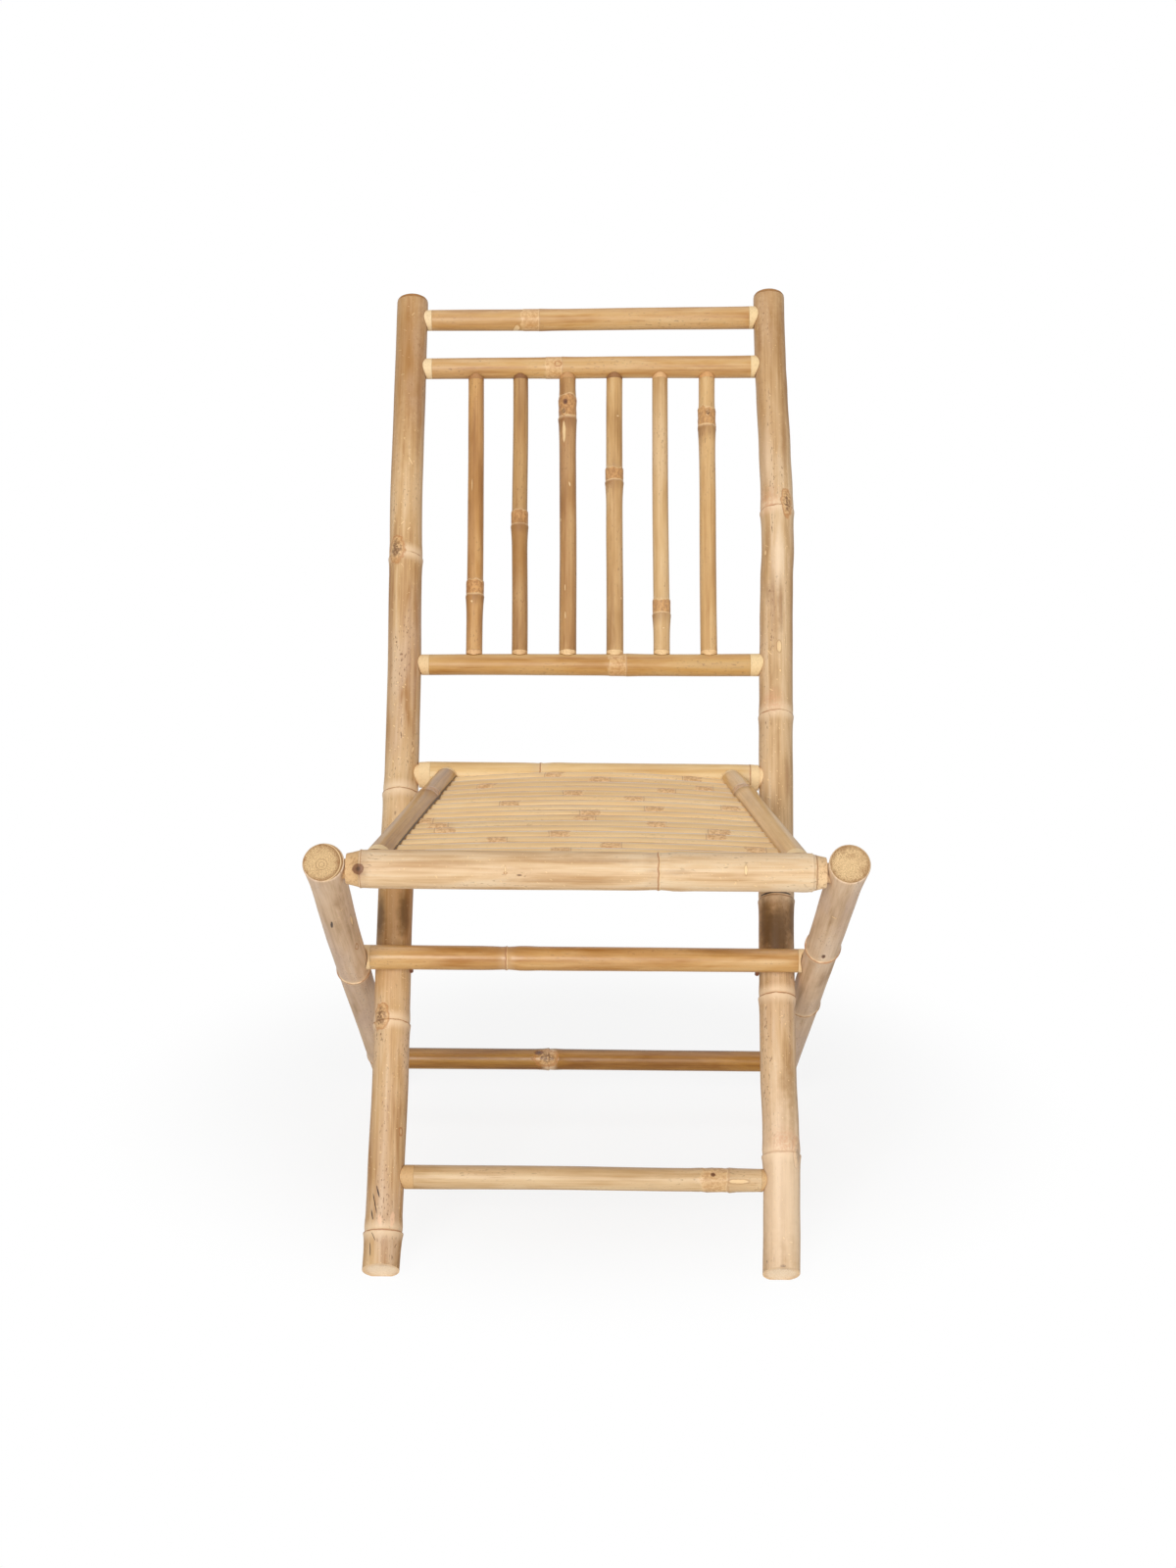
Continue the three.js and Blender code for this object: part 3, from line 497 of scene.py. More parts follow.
# How squarely a cut face looks along the culm, and the angle from which an edge is sharp
CUT_LIMIT = 0.9
SHARP_EDGE = math.radians(38)
# How far past the host's round an end is drawn back with it
FISH_MOUTH_REACH = 10


def laid(start, end, facing):
    """The matrix that lays local Z from start to end, with local Y towards facing."""
    z = (end - start).normalized()
    x = facing.cross(z).normalized()
    y = z.cross(x)
    matrix = Matrix((x, y, z)).transposed().to_4x4()
    matrix.translation = start
    return matrix


def rim_rows(radius, rim, steps=4):
    """The end of a culm with its edge rounded."""
    turns = [math.pi / 2 * i / steps for i in range(steps + 1)]
    arc = [(rim - rim * math.cos(turn), radius - rim + rim * math.sin(turn)) for turn in turns]
    return [(0, 0), (0, radius * 0.5)] + arc


def culm_rows(length, radii, nodes, rims, form="rail", buds=()):
    """Rows of (along, radius) of a culm: rounded rims, plain internodes and rings, in millimetres."""
    def plain(along):
        return radii[0] + (radii[1] - radii[0]) * along / length

    count = max(2, round(length / ROW_STEP))
    rows = {length * i / count: 0.0 for i in range(count + 1)}
    for place in buds:
        rows.update({place + BUD_STEP * i: 0.0 for i in range(-8, 9)})
    for along, size, way, stretch in nodes:
        offsets = [offset * way * stretch for offset, rise in NODE_FORMS[form]]
        low, high = min(offsets), max(offsets)
        for old in [row for row in rows if low < row - along < high and 0 < row < length]:
            del rows[old]
        for offset, rise in NODE_FORMS[form]:
            rows[along + offset * way * stretch] = rise * size * plain(along)
    rows = {row: rise for row, rise in rows.items() if rims[0] < row < length - rims[1]}
    start = rim_rows(radii[0], rims[0])
    end = [(length - along, radius) for along, radius in reversed(rim_rows(radii[1], rims[1]))]
    body = [(row, plain(row) + rows[row]) for row in sorted(rows)]
    return start + body + end


def spun(rows, sides):
    """Spins the rows round Z into a closed solid, in metres."""
    bm = bmesh.new()
    verts = [bm.verts.new((radius * MM, 0, along * MM)) for along, radius in rows]
    edges = [bm.edges.new(pair) for pair in zip(verts, verts[1:])]
    bmesh.ops.spin(bm, geom=verts + edges, cent=(0, 0, 0), axis=(0, 0, 1), dvec=(0, 0, 0),
                   angle=2 * math.pi, steps=sides, use_merge=True)
    bmesh.ops.remove_doubles(bm, verts=bm.verts, dist=0.01 * MM)
    bmesh.ops.recalc_face_normals(bm, faces=bm.faces)
    return bm


def note_grain(bm, nodes, ends):
    """Keeps each point's place in the culm, its distance from the nearest node, whether that is near,
    and its distance from the whittled ends."""
    grain = bm.verts.layers.float_vector.new("grain")
    node_gap = bm.verts.layers.float.new("node_gap")
    node_near = bm.verts.layers.float.new("node_near")
    bm.verts.layers.float.new("end_gap")
    for vert in bm.verts:
        vert[grain] = vert.co.copy()
        gaps = [way * (vert.co.z - along * MM) / stretch for along, size, way, stretch in nodes]
        vert[node_gap] = min(gaps, key=abs) if gaps else 1.0
        vert[node_near] = 1.0 if abs(vert[node_gap]) < NODE_REACH * MM else 0.0
    note_ends(bm, ends)


def note_ends(bm, ends):
    end_gap = bm.verts.layers.float["end_gap"]
    for vert in bm.verts:
        vert[end_gap] = min(vert.co.z - ends[0] * MM, ends[1] * MM - vert.co.z)


def grow_uneven(bm, seed, length, amount=0.012, stray=0.35):
    """No culm is a true cylinder: its section is a little oval and its line strays."""
    turn = seed * 2.1
    for vert in bm.verts:
        x, y, z = vert.co
        out = math.hypot(x, y)
        if out < 0.1 * MM:
            continue
        angle = math.atan2(y, x)
        lump = noise.noise(Vector((math.cos(angle), math.sin(angle), z * LUMP_RATE + seed * 5)))
        grow = 1 + amount * lump + OVAL * math.cos(2 * angle + turn)
        share = math.sin(math.pi * min(max(z / (length * MM), 0), 1))
        sway = noise.noise(Vector((seed * 3.3, 0.5, z * STRAY_RATE))) * stray * MM * share
        dip = noise.noise(Vector((0.5, seed * 2.7, z * STRAY_RATE))) * stray * MM * share
        vert.co = (x * grow + sway, y * grow + dip, z)


def meeting(x, y, host, near_start):
    """Where a line along Z through (x, y) meets a host: (point, direction, radius) in local metres."""
    point, direction, radius = host
    away = Vector((x, y, 0)) - point
    away -= direction * away.dot(direction)
    along = UP - direction * direction.z
    a = along.length_squared
    b = away.dot(along)
    c = away.length_squared - radius * radius
    root = math.sqrt(max(b * b - a * c, 0))
    return (-b + root) / a if near_start else (-b - root) / a


def sit_on(bm, matrix, length, hosts):
    """Fish-mouths the ends: each end is drawn back to the round of the culm that it sits on."""
    inverse = matrix.inverted()
    for at_end, host in enumerate(hosts):
        if host is None:
            continue
        point, direction, radius = host
        local = (inverse @ point, (inverse.to_3x3() @ direction).normalized(), radius * MM + JOINT_GAP)
        span = (radius + FISH_MOUTH_REACH) * MM
        for vert in bm.verts:
            z = length * MM - vert.co.z if at_end else vert.co.z
            if z > span:
                continue
            met = meeting(vert.co.x, vert.co.y, local, not at_end)
            surface = length * MM - met if at_end else met
            moved = surface + z * (span - surface) / span
            vert.co.z = length * MM - moved if at_end else moved


def mark_cuts(bm):
    """Faces that look along the culm are cut across the grain, and take the second material."""
    bm.normal_update()
    for face in bm.faces:
        face.material_index = 1 if abs(face.normal.z) > CUT_LIMIT else 0


def finished(name, bm, materials, body, stands_for):
    for face in bm.faces:
        face.smooth = True
    for edge in bm.edges:
        edge.smooth = edge.calc_face_angle(0) < SHARP_EDGE
    mesh = bpy.data.meshes.new(name)
    bm.to_mesh(mesh)
    bm.free()
    for material in materials:
        mesh.materials.append(material)
    piece = bpy.data.objects.new(name, mesh)
    bpy.context.scene.collection.objects.link(piece)
    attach(piece, body)
    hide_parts(*stands_for)
    return piece


def widen(vert, share):
    vert.co.x *= share
    vert.co.y *= share


def raise_marks(bm, radius, marks):
    """Buds stand out of the culm and knots lie a little in it."""
    for kind, angle, along, width, length, *slant in marks:
        if kind not in MARK_RISES:
            continue
        for vert in bm.verts:
            x, y, z = (part / MM for part in vert.co)
            turn = math.remainder(math.atan2(y, x) - angle, 2 * math.pi) * radius
            near = math.exp(-(turn / width) ** 2 - ((z - along) / length) ** 2)
            if near > LEAST_RISE:
                widen(vert, 1 + MARK_RISES[kind] * near / radius)


def roughen_nodes(bm, nodes, seed):
    """Node bands with a stretch over 1 are knobby."""
    for along, size, way, stretch in nodes:
        if stretch <= 1:
            continue
        for vert in bm.verts:
            inside = way * (vert.co.z / MM - along) / stretch
            if KNOBBY_BAND[0] < inside < KNOBBY_BAND[1]:
                lump = noise.noise(vert.co * KNOBBY_RATE + Vector((seed, 0, 0)))
                widen(vert, 1 + KNOBBY_RISE * lump)


def shaped_culm(matrix, length, radii, nodes, seed, hosts=(None, None), rims=(1.4, 1.4),
                stray_line=None, sides=CULM_SIDES, stray=0.35, swell=None, form="rail", marks=(),
                whittled=(2.4, 2.4), ring_slant=0.0):
    """A culm in place: rows, spin, uneven growth, its own line, fish-mouths. The whittled zones reach
    as far as they say past the round of the culm that an end sits on, or from a free end. The rings
    are higher at local Y by their slant, except near the ends."""
    buds = [mark[2] for mark in marks if mark[0] in MARK_RISES]
    rows = culm_rows(length, radii, nodes, rims, form, buds)
    if swell:  # the rows inside the end face stay
        rows = [(along, radius + (swell(along) if radius > radii[0] * 0.6 else 0))
                for along, radius in rows]
    bm = spun(rows, sides)
    reach = [host[2] if host else 0 for host in hosts]
    ends = (reach[0] + whittled[0], length - reach[1] - whittled[1])
    mark_cuts(bm)
    raise_marks(bm, radii[0], marks)
    roughen_nodes(bm, nodes, seed)
    grow_uneven(bm, seed, length, stray=stray)
    if stray_line:
        for vert in bm.verts:
            shift = stray_line(vert.co.z / MM)
            vert.co.x += shift[0] * MM
            vert.co.y += shift[1] * MM
    note_grain(bm, nodes, ends)
    for vert in bm.verts:
        from_end = min(vert.co.z, length * MM - vert.co.z)
        vert.co.z += ring_slant * vert.co.y * eased(max(0, min(1, from_end / (SLANT_FADE * MM))))
    sit_on(bm, matrix, length, hosts)
    if hosts[0] or hosts[1]:
        note_ends(bm, ends)
    bmesh.ops.transform(bm, matrix=matrix, verts=bm.verts)
    return bm


# Colours as deep, middle and pale tones
POST_COLOURS = {
    "left": tones((169, 122, 72), (204, 164, 114), (222, 189, 146)),
    "right": tones((174, 133, 84), (209, 172, 126), (226, 196, 157)),
}
RAIL_COLOURS = tones((172, 119, 57), (203, 157, 95), (220, 184, 130))
LOWER_COLOURS = tones((166, 112, 46), (197, 149, 82), (214, 176, 116))
POLE_COLOURS = tones((176, 139, 99), (213, 180, 144), (232, 205, 176))
SHADED_COLOURS = tones((130, 82, 24), (164, 114, 42), (186, 138, 64))
FRONT_COLOURS = tones((191, 149, 100), (219, 185, 142), (229, 204, 168))
REAR_COLOURS = tones((201, 156, 92), (225, 188, 129), (237, 206, 152))
FOOT_COLOURS = tones((184, 144, 93), (214, 181, 136), (229, 202, 159))
SLAT_COLOURS = tones((215, 169, 108), (237, 197, 138), (250, 217, 165))
BATTEN_COLOURS = {
    "left": tones((148, 102, 48), (182, 136, 76), (204, 162, 102)),
    "right": tones((180, 135, 74), (212, 167, 102), (230, 189, 128)),
}
SPINDLE_COLOURS = [
    tones((157, 106, 51), (192, 141, 80), (212, 166, 105)),
    tones((143, 98, 51), (177, 132, 78), (196, 155, 100)),
    tones((146, 99, 53), (180, 134, 81), (203, 162, 108)),
    tones((166, 122, 69), (201, 158, 102), (220, 184, 131)),
    tones((184, 141, 88), (212, 174, 122), (227, 194, 147)),
    tones((181, 134, 79), (208, 166, 110), (224, 188, 135)),
]

pole_ends = {
    "left": end_grain("pole_end_grain_left", 17, srgb(218, 184, 134), srgb(134, 90, 46), 3.1,
                      (0.12, 0.27), 0.9),
    "right": end_grain("pole_end_grain_right", 17, srgb(226, 192, 142), srgb(138, 96, 52), 7.7,
                       (), 0.5),
}
# The pale of the posts' end grain is brightened as painted light, since the foot's cut face looks down
post_end = end_grain("post_end_grain", 16, srgb(252, 232, 204), srgb(226, 194, 156), 8.4, (), 0.15)
split_face = end_grain("split_face", 60, srgb(226, 190, 138), srgb(190, 146, 92), 2.2)

# Back posts: nodes as (along, size, way, stretch), marks as (kind, angle, along, width, length, slant),
# where a mark that isn't slanted leaves that out
POST_NODES = {
    "left": [(47, 1.7, 1, 1), (236, 1.3, 1, 1), (456, 1.6, 1, 1), (693, 1.4, 1, 1)],
    "right": [(119, 1.5, 1, 1), (264, 1.5, 1, 1), (356, 1.2, 1, 1), (536, 1.3, 1, 1),
              (745.5, 1.5, 1, 1)],
}
POST_MARKS = {
    "left": [
        ("bud", 1.12, 696, 9.5, 14.5, 0.1), ("bud", 1.12, 239, 8.5, 13.5),
        ("ring", 2.49, 135, 2.8, 4.5), ("crack", 1.32, 80, 0.7, 6, 0.3),
        ("crack", 1.15, 70, 0.5, 11, 0.25), ("crack", 1.0, 60, 0.7, 5, 0.3),
        ("crack", 1.12, 42, 0.4, 6, 0.5), ("crack", 0.96, 31, 0.5, 6, 0.1),
        ("smear", 1.47, 55, 2.2, 6, 0.1), ("smear", 2.14, 56, 2.6, 8, -0.1),
        ("chip", 0.85, 909, 0.8, 3, 1.2), ("chip", 1.16, 881, 0.8, 2.5, 1.4),
        ("chip", 1.85, 788, 1, 5, 0.5), ("chip", 0.25, 778, 1, 5, -0.1),
        ("chip", 1.5, 723, 0.8, 3, -0.9), ("chip", 1.87, 717, 0.7, 2.5, -0.7),
        ("chip", 2.46, 495, 1, 4, -0.3), ("chip", 2.59, 513, 0.8, 2.5, 0.3),
        # Painted light on this post: the shade under the seat, the smoke there as a dark stain deepened
        # with painted shade, and the shade at the top
        ("chip", 1.73, 947, 0.8, 3, -0.6), ("stain", 1.09, 647, 1, 8), ("shade", 1.57, 350, 30, 70),
        ("smoke", 0.75, 334, 8, 22), ("smoke", 2.3, 336, 7, 24), ("stain", 2.0, 390, 3, 30),
        ("shade", 1.2, 905, 26, 110), ("stain", 2.3, 860, 3, 90), ("stain", 0.8, 600, 4, 60),
    ],
    "right": [
        ("bud", 2.4, 748, 6, 16), ("bud", 2.5, 120, 6, 15), ("knot", 2.6, 117, 2.5, 7),
        ("chip", 1.01, 698, 1.8, 4, 0.1), ("chip", 1.88, 599, 2.2, 5.5), ("chip", 1.92, 575, 1, 1.5),
        ("chip", 0.75, 938, 0.8, 5, -1.1), ("chip", 0.87, 931, 0.7, 2.5, -0.8),
        ("chip", 2.06, 39, 0.8, 2.2, 1.5), ("chip", 1.92, 29, 0.9, 1.8, 1.4),
        ("chip", 1.66, 42, 0.8, 1.4, 1), ("knot", 0.61, 24, 0.9, 1), ("knot", 1.61, 20, 2.5, 1),
        # Painted light on this post: the shade under the seat, the smoke there as a dark stain deepened
        # with painted shade, the wide pale wash on the front of the leg, the shade along its right edge,
        # and the tan and the shade that darken its top
        ("knot", 0.89, 561, 0.7, 1.3), ("shade", 1.57, 330, 34, 34), ("smoke", 0.8, 330, 9, 30),
        ("smoke", 1.7, 322, 12, 30), ("smoke", 2.6, 336, 9, 24), ("stain", 0.7, 880, 5, 60),
        ("stain", 2.2, 930, 4, 40), ("stain", 1.6, 640, 5, 70), ("pale", 1.57, 85, 34, 95),
        ("blush", 1.3, 752, 14, 16), ("blush", 1.8, 128, 14, 14), ("blush", 1.5, 545, 12, 14),
        ("pale", 1.2, 800, 6, 34), ("pale", 1.9, 690, 6, 30), ("stain", 1.1, 660, 4, 18, 0.2),
        ("stain", 2.3, 470, 4, 26), ("shade", 2.75, 900, 6, 90), ("stain", 2.5, 945, 3, 22),
        ("stain", 1.0, 840, 3, 46), ("stain", 2.35, 815, 3.5, 40), ("shade", 2.8, 640, 5, 90),
        ("stain", 1.3, 715, 3, 22), ("tan", 1.57, 880, 30, 105), ("stain", 2.0, 640, 3, 34),
        ("shade", 1.57, 1045, 30, 110), ("smoke", 1.3, 318, 12, 24), ("stain", 0.85, 925, 3, 24),
        ("crack", 1.9, 358, 9, 0.8), ("crack", 0.9, 358, 8, 0.8),
    ],
}


# The culm starts a little above the floor. Its foot is cut at a slant in degrees, so that its end shows
# from the front, and the heel is level with the floor. The rings are higher at the front, and their
# nodes are set lower for it. The top is worn down.
POST_START = 7.2
FOOT_SLANT = 43
HEEL_BEHIND = 16.5
RING_SLANT = 0.19
RING_DROP = 1.5
TOP_WORN = 2.0
LILAC_SHARE = {"left": 0.4, "right": 0.22}
POST_TIPS = tones((226, 190, 146), (170, 120, 70))


def keep_side(bm, point, outward):
    """Cuts off what lies beyond a plane and closes the cut, which takes the second material."""
    cut = bmesh.ops.bisect_plane(bm, geom=bm.verts[:] + bm.edges[:] + bm.faces[:], plane_co=point,
                                 plane_no=outward, clear_outer=True)
    edges = [part for part in cut["geom_cut"] if isinstance(part, bmesh.types.BMEdge)]
    for face in bmesh.ops.holes_fill(bm, edges=edges)["faces"]:
        face.material_index = 1


def make_post(side, seed):
    base = POST_HALF_SPACING * SIDES[side]
    start = post_foot + post_up * POST_START * MM + ACROSS * base * MM
    end = post_foot + post_up * (POST_LENGTH[side] - TOP_WORN) * MM + ACROSS * base * MM
    matrix = laid(start, end, post_front)
    length = POST_LENGTH[side] - TOP_WORN - POST_START
    sign = 1 if matrix.col[0].x > 0 else -1
    lower = POST_START + RING_DROP
    nodes = [(along - lower, *rest) for along, *rest in POST_NODES[side]]
    marks = [(kind, angle, along - lower, *rest) for kind, angle, along, *rest in POST_MARKS[side]]
    bm = shaped_culm(matrix, length, POST_RADII, nodes, seed, rims=(1.2, 5), form="post", marks=marks,
                     stray_line=lambda z: (sign * between(POST_STRAY[side], z + POST_START), 0),
                     whittled=(2, 4.5), ring_slant=RING_SLANT)
    heel = start - post_up * POST_START * MM
    slant = math.radians(FOOT_SLANT)
    keep_side(bm, heel + BACK * HEEL_BEHIND * MM, (0, -math.cos(slant), -math.sin(slant)))
    keep_side(bm, (0, 0, 0), (0, 0, -1))
    skin = bamboo_skin(f"post_skin_{side}", POST_COLOURS[side], seed, "post", 0.44, LILAC_SHARE[side],
                       0.4, 0.8, 0.7, 16.5, marks, POST_TIPS, tip_rough=0.9, contrast=1.2)
    finished(f"post_{side}", bm, [skin, post_end], "back_frame", [f"back_post_{side}"])


make_post("left", 1.3)
make_post("right", 4.6)


# Rails between the posts: places on them, radius at the middle and its growth to the right end, nodes,
# whittled lengths, seed, colours, the left and the right tip's colours, and marks
PALE_TIPS = tones((240, 212, 166), (238, 208, 156))
BACK_RAILS = {
    "back_rail_top": (
        {"left": 948, "right": 955}, 10.8, 0.5, [(128, 0.7, -1, 1)], (4.5, 5), 2.2, RAIL_COLOURS,
        PALE_TIPS,
        [("chip", 3.1, 105, 3, 6, 1.2), ("stain", 1.0, 60, 2.5, 30), ("stain", 0.7, 85, 2, 28)]),
    "back_rail_upper": (
        {"left": 895, "right": 901}, 10.8, 0.5, [(151.5, 0.7, -1, 1)], (6, 4.5), 3.9, RAIL_COLOURS,
        PALE_TIPS, [("ring", 1.6, 148, 3.5, 4)]),
    "back_rail_lower": (
        {"left": 584, "right": 587}, 10.4, 0.5, [(214, 0.8, -1, 1)], (8, 9), 6.1, LOWER_COLOURS,
        (srgb(232, 198, 148), PALE_TIPS[1]), []),
    "foot_rail": (
        {"left": 96, "right": 95.5}, 10.7, -0.3, [(310, 0.8, -1, 1.5)], (9, 2), 7.7, FOOT_COLOURS,
        tones((212, 172, 120), (212, 174, 124)),
        [("knot", 1.18, 297, 2, 2.2), ("chip", 1.75, 320, 2, 9)]),
}
# Half the length of post over which its direction is taken
HOST_REACH = 20


def post_host(side, along):
    """The post at a place, as a host of the culm that sits on it."""
    ahead = post_point(side, along + HOST_REACH) - post_point(side, along - HOST_REACH)
    return (post_point(side, along), ahead.normalized(), post_radius(along))


def make_back_rail(node, places, radius, growth, nodes, whittled, seed, colours, tips, marks):
    ends = {side: post_point(side, places[side]) for side in SIDES}
    matrix = laid(ends["left"], ends["right"], post_front)
    length = (ends["right"] - ends["left"]).length / MM
    hosts = [post_host(side, places[side]) for side in SIDES]
    bm = shaped_culm(matrix, length, (radius - growth, radius + growth), nodes, seed, hosts, stray=0.8,
                     marks=marks, whittled=whittled)
    skin = bamboo_skin(f"{node}_skin", colours, seed, "rail", 0.34, 0.12, 0.4, 0.45, marks=marks,
                       tips=tips, tip_rough=0.5)
    finished(f"{node}_culm", bm, [skin, split_face], "back_frame", [node])


for node, rail in BACK_RAILS.items():
    make_back_rail(node, *rail)

# Spindles between the back rails: across at the foot and at the head, radius, node and marks
SPINDLES = [
    ((-109, -113.5), 7.9, (70, 1.25, 1, 1),
     [("chip", 1.13, 184, 0.5, 8), ("chip", 1.3, 62, 1, 1.5, 0.5)]),
    ((-65, -69), 7.7, (143, 1.25, 1, 1),
     [("stain", 0.32, 200, 0.8, 30), ("shade", 1.57, 118, 8, 34), ("stain", 1.4, 141, 8, 8)]),
    ((-18.5, -22), 8.4, (257, 1.0, 1, 1.5),
     [("bud", 1.15, 262, 3.5, 5), ("knot", 1.3, 272, 2.5, 3), ("chip", 1.15, 240, 1.8, 12),
      ("chip", 1.82, 184, 0.7, 2.5, 0.2), ("chip", 0.55, 148, 0.8, 2.5, 0.1),
      ("chip", 1.27, 76, 0.6, 4), ("chip", 1.31, 48, 0.6, 4)]),
    ((27, 25), 8.2, (189, 1.25, 1, 0.95),
     [("chip", 1.96, 257, 1.2, 0.8), ("chip", 2.38, 66, 0.8, 1.5), ("smear", 0.3, 183, 1.5, 2.5)]),
    ((72.3, 70.5), 8.0, (51, 1.25, 1, 1),
     [("stain", 2.7, 250, 1.2, 40), ("chip", 1.79, 35, 1.6, 0.8, 0.3)]),
    ((118, 117.5), 8.2, (248, 1.1, 1, 1.3),
     [("bud", 1.6, 260, 3.5, 4.5), ("stain", 0.6, 236, 4, 14)]),
]
# The colours of each spindle's lower and upper whittled end
SPINDLE_TIPS = [
    tones((224, 178, 126), (178, 128, 80)), tones((224, 182, 130), (136, 92, 54)),
    tones((238, 200, 148), (200, 150, 98)), tones((236, 200, 148), (150, 104, 62)),
    tones((238, 202, 150), (226, 178, 124)), tones((236, 196, 142), (216, 162, 104)),
]


def rail_point(places, across):
    left, right = post_point("left", places["left"]), post_point("right", places["right"])
    share = (across * MM - left.x) / (right.x - left.x)
    return left.lerp(right, share)


def make_spindle(index, across, radius, node, marks, colours, tips):
    lower, upper = BACK_RAILS["back_rail_lower"], BACK_RAILS["back_rail_upper"]
    foot, head = rail_point(lower[0], across[0]), rail_point(upper[0], across[1])
    matrix = laid(foot, head, post_front)
    length = (head - foot).length / MM
    hosts = [(foot, ACROSS, lower[1]), (head, ACROSS, upper[1])]
    seed = 10.3 + index * 1.9
    bm = shaped_culm(matrix, length, (radius, radius - 0.2), [node], seed, hosts, stray=1.6,
                     sides=THIN_SIDES, form="spindle", marks=marks, whittled=(2.8, 3.2))
    skin = bamboo_skin(f"spindle_skin_{index}", colours, seed, "spindle", 0.36, 0.1, 0.5, 0.5, radius=8,
                       marks=marks, tips=tips, middle_along=length * MM / 2, tip_rough=0.8)
    finished(f"spindle_{index}", bm, [skin, split_face], "back_frame", [f"back_spindle_{index}"])


for index, (spindle, colours, tips) in enumerate(zip(SPINDLES, SPINDLE_COLOURS, SPINDLE_TIPS), 1):
    make_spindle(index, *spindle, colours, tips)


# Seat rails that turn in the posts and in the poles: radii, whittled lengths at the left and the right
# end, and how far the shoulders stand in from the posts and from the poles
REAR_RAIL_RADIUS = 12.8
FRONT_RAIL_RADIUS = 16
TURNED_ENDS = (11, 8)
REAR_CLEAR = 0.5
FRONT_CLEAR = (4.2, 1.6)
# The taper between a shoulder and the full culm, as shares of its length and of its rise
TAPER_CURVE = [(0.5, 0.35), (0.94, 0.75)]


def make_turning_rail(node, middle, shoulders, rows, seed, nodes, skin):
    """A rail along X: its rows run from the left shoulder, and it ends in round tenons."""
    left, right = shoulders
    start, end = middle + ACROSS * left * MM, middle + ACROSS * right * MM
    matrix = laid(start, end, UP)
    length = right - left
    bm = spun(rows(length), CULM_SIDES)
    mark_cuts(bm)
    grow_uneven(bm, seed, length, amount=0.01)
    note_grain(bm, nodes, (TURNED_ENDS[0], length - TURNED_ENDS[1]))
    bmesh.ops.transform(bm, matrix=matrix, verts=bm.verts)
    finished(f"{node}_culm", bm, [skin, split_face], "seat", [node])


def turning_rows(radius, nodes, tenon, cone, taper, reach):
    """Rows of a turning rail: the radii of the tenon and of the shoulder, the length of the taper from
    there to the full culm, and how far the tenon stands out."""
    def rows(length):
        body = [row for row in culm_rows(length, (radius, radius), nodes, (0.1, 0.1), "pinch")
                if taper + 0.5 < row[0] < length - taper - 0.5]
        curve = [(taper * share, cone + rise * (radius - cone)) for share, rise in TAPER_CURVE]
        start = [(-reach, 0), (-reach, tenon), (0, tenon), (0.2, cone)] + curve + [(taper, radius)]
        end = [(length - along, width) for along, width in reversed(start)]
        return start + body + end
    return rows


rear_shoulders = (post_across("left", HINGE_ALONG) + post_radius(HINGE_ALONG) + REAR_CLEAR,
                  post_across("right", HINGE_ALONG) - post_radius(HINGE_ALONG) - REAR_CLEAR)
rear_length = rear_shoulders[1] - rear_shoulders[0]
rear_nodes = [(116, 0.7, 1, 1), (rear_length - 8, 0.4, 1, 1)]
make_turning_rail(
    "seat_rear_rail", seat_rear, rear_shoulders,
    turning_rows(REAR_RAIL_RADIUS, rear_nodes, 10, 12.2, 8, 5), 12.7, rear_nodes,
    bamboo_skin("rear_rail_skin", REAR_COLOURS, 12.7, "pinch", 0.42, 0.1, 0.2, 0.2))
front_shoulders = (-POLE_HALF_SPACING + POLE_RADII[0] + FRONT_CLEAR[0],
                   POLE_HALF_SPACING - POLE_RADII[0] - FRONT_CLEAR[1])
front_length = front_shoulders[1] - front_shoulders[0]
front_nodes = [(12, 0.4, -1, 0.6), (254, 0.8, 1, 1), (front_length - 9, 0.4, -1, 0.6)]
front_marks = [
    ("stain", 2.85, 12, 9, 9), ("knot", 2.85, 11, 4.8, 5, 0.3), ("chip", 2.86, 130, 3.5, 0.6),
    ("ring", 3.0, 130, 1, 1.6), ("knot", 3.1, 141, 0.5, 2.2), ("chip", 2.75, 324, 4, 1.2),
    ("stain", 2.3, 200, 3, 70), ("stain", 2.9, 268, 2.5, 16), ("stain", -2.9, 180, 2, 60),
    ("stain", 2.5, 80, 2.5, 40),
]
front_tips = tones((216, 176, 126), (232, 198, 152))
make_turning_rail(
    "seat_front_rail", seat_front, front_shoulders,
    turning_rows(FRONT_RAIL_RADIUS, front_nodes, 8.2, 12.6, 11.5, 4), 15.1, front_nodes,
    bamboo_skin("front_rail_skin", FRONT_COLOURS, 15.1, "pinch", 0.46, 0.15, 0.3, 0.6, 0.6, 16,
                front_marks, front_tips, tip_rough=1.0, contrast=1.2))

# Seat surface, as in the frame: share 0 at the rear rail's axis and 1 at the front rail's. Pairs are
# values at the rear and at the front.
SEAT_DEPTH = (seat_rear - seat_front).length / MM
SLAT_TOP = (2.6, 8.0)
SLAT_CROWN = (6.0, 3.4)
SLAT_COUNT = 16
SLAT_GAP = 0.5
SLAT_THICKNESS = 5.0
SLAT_ROUND = 2.7
SLAT_END_MARGIN = 7.0
# How a slat's skin falls to its long edges: shares of the round, and their powers
SLAT_CURVES = [(0.72, 2), (0.28, 9)]
SLAT_ARC = 12
SLAT_STEPS = 110
# The most that a slat's edge tilts, that its skin is lumpy, and that its tone differs, in hundredths
SLAT_TILT = 0.35
SLAT_LUMP = 0.3
SLAT_SHADE = 9
SLAT_NODE_RISE = 0.45
SLAT_NODE_REACH = 8
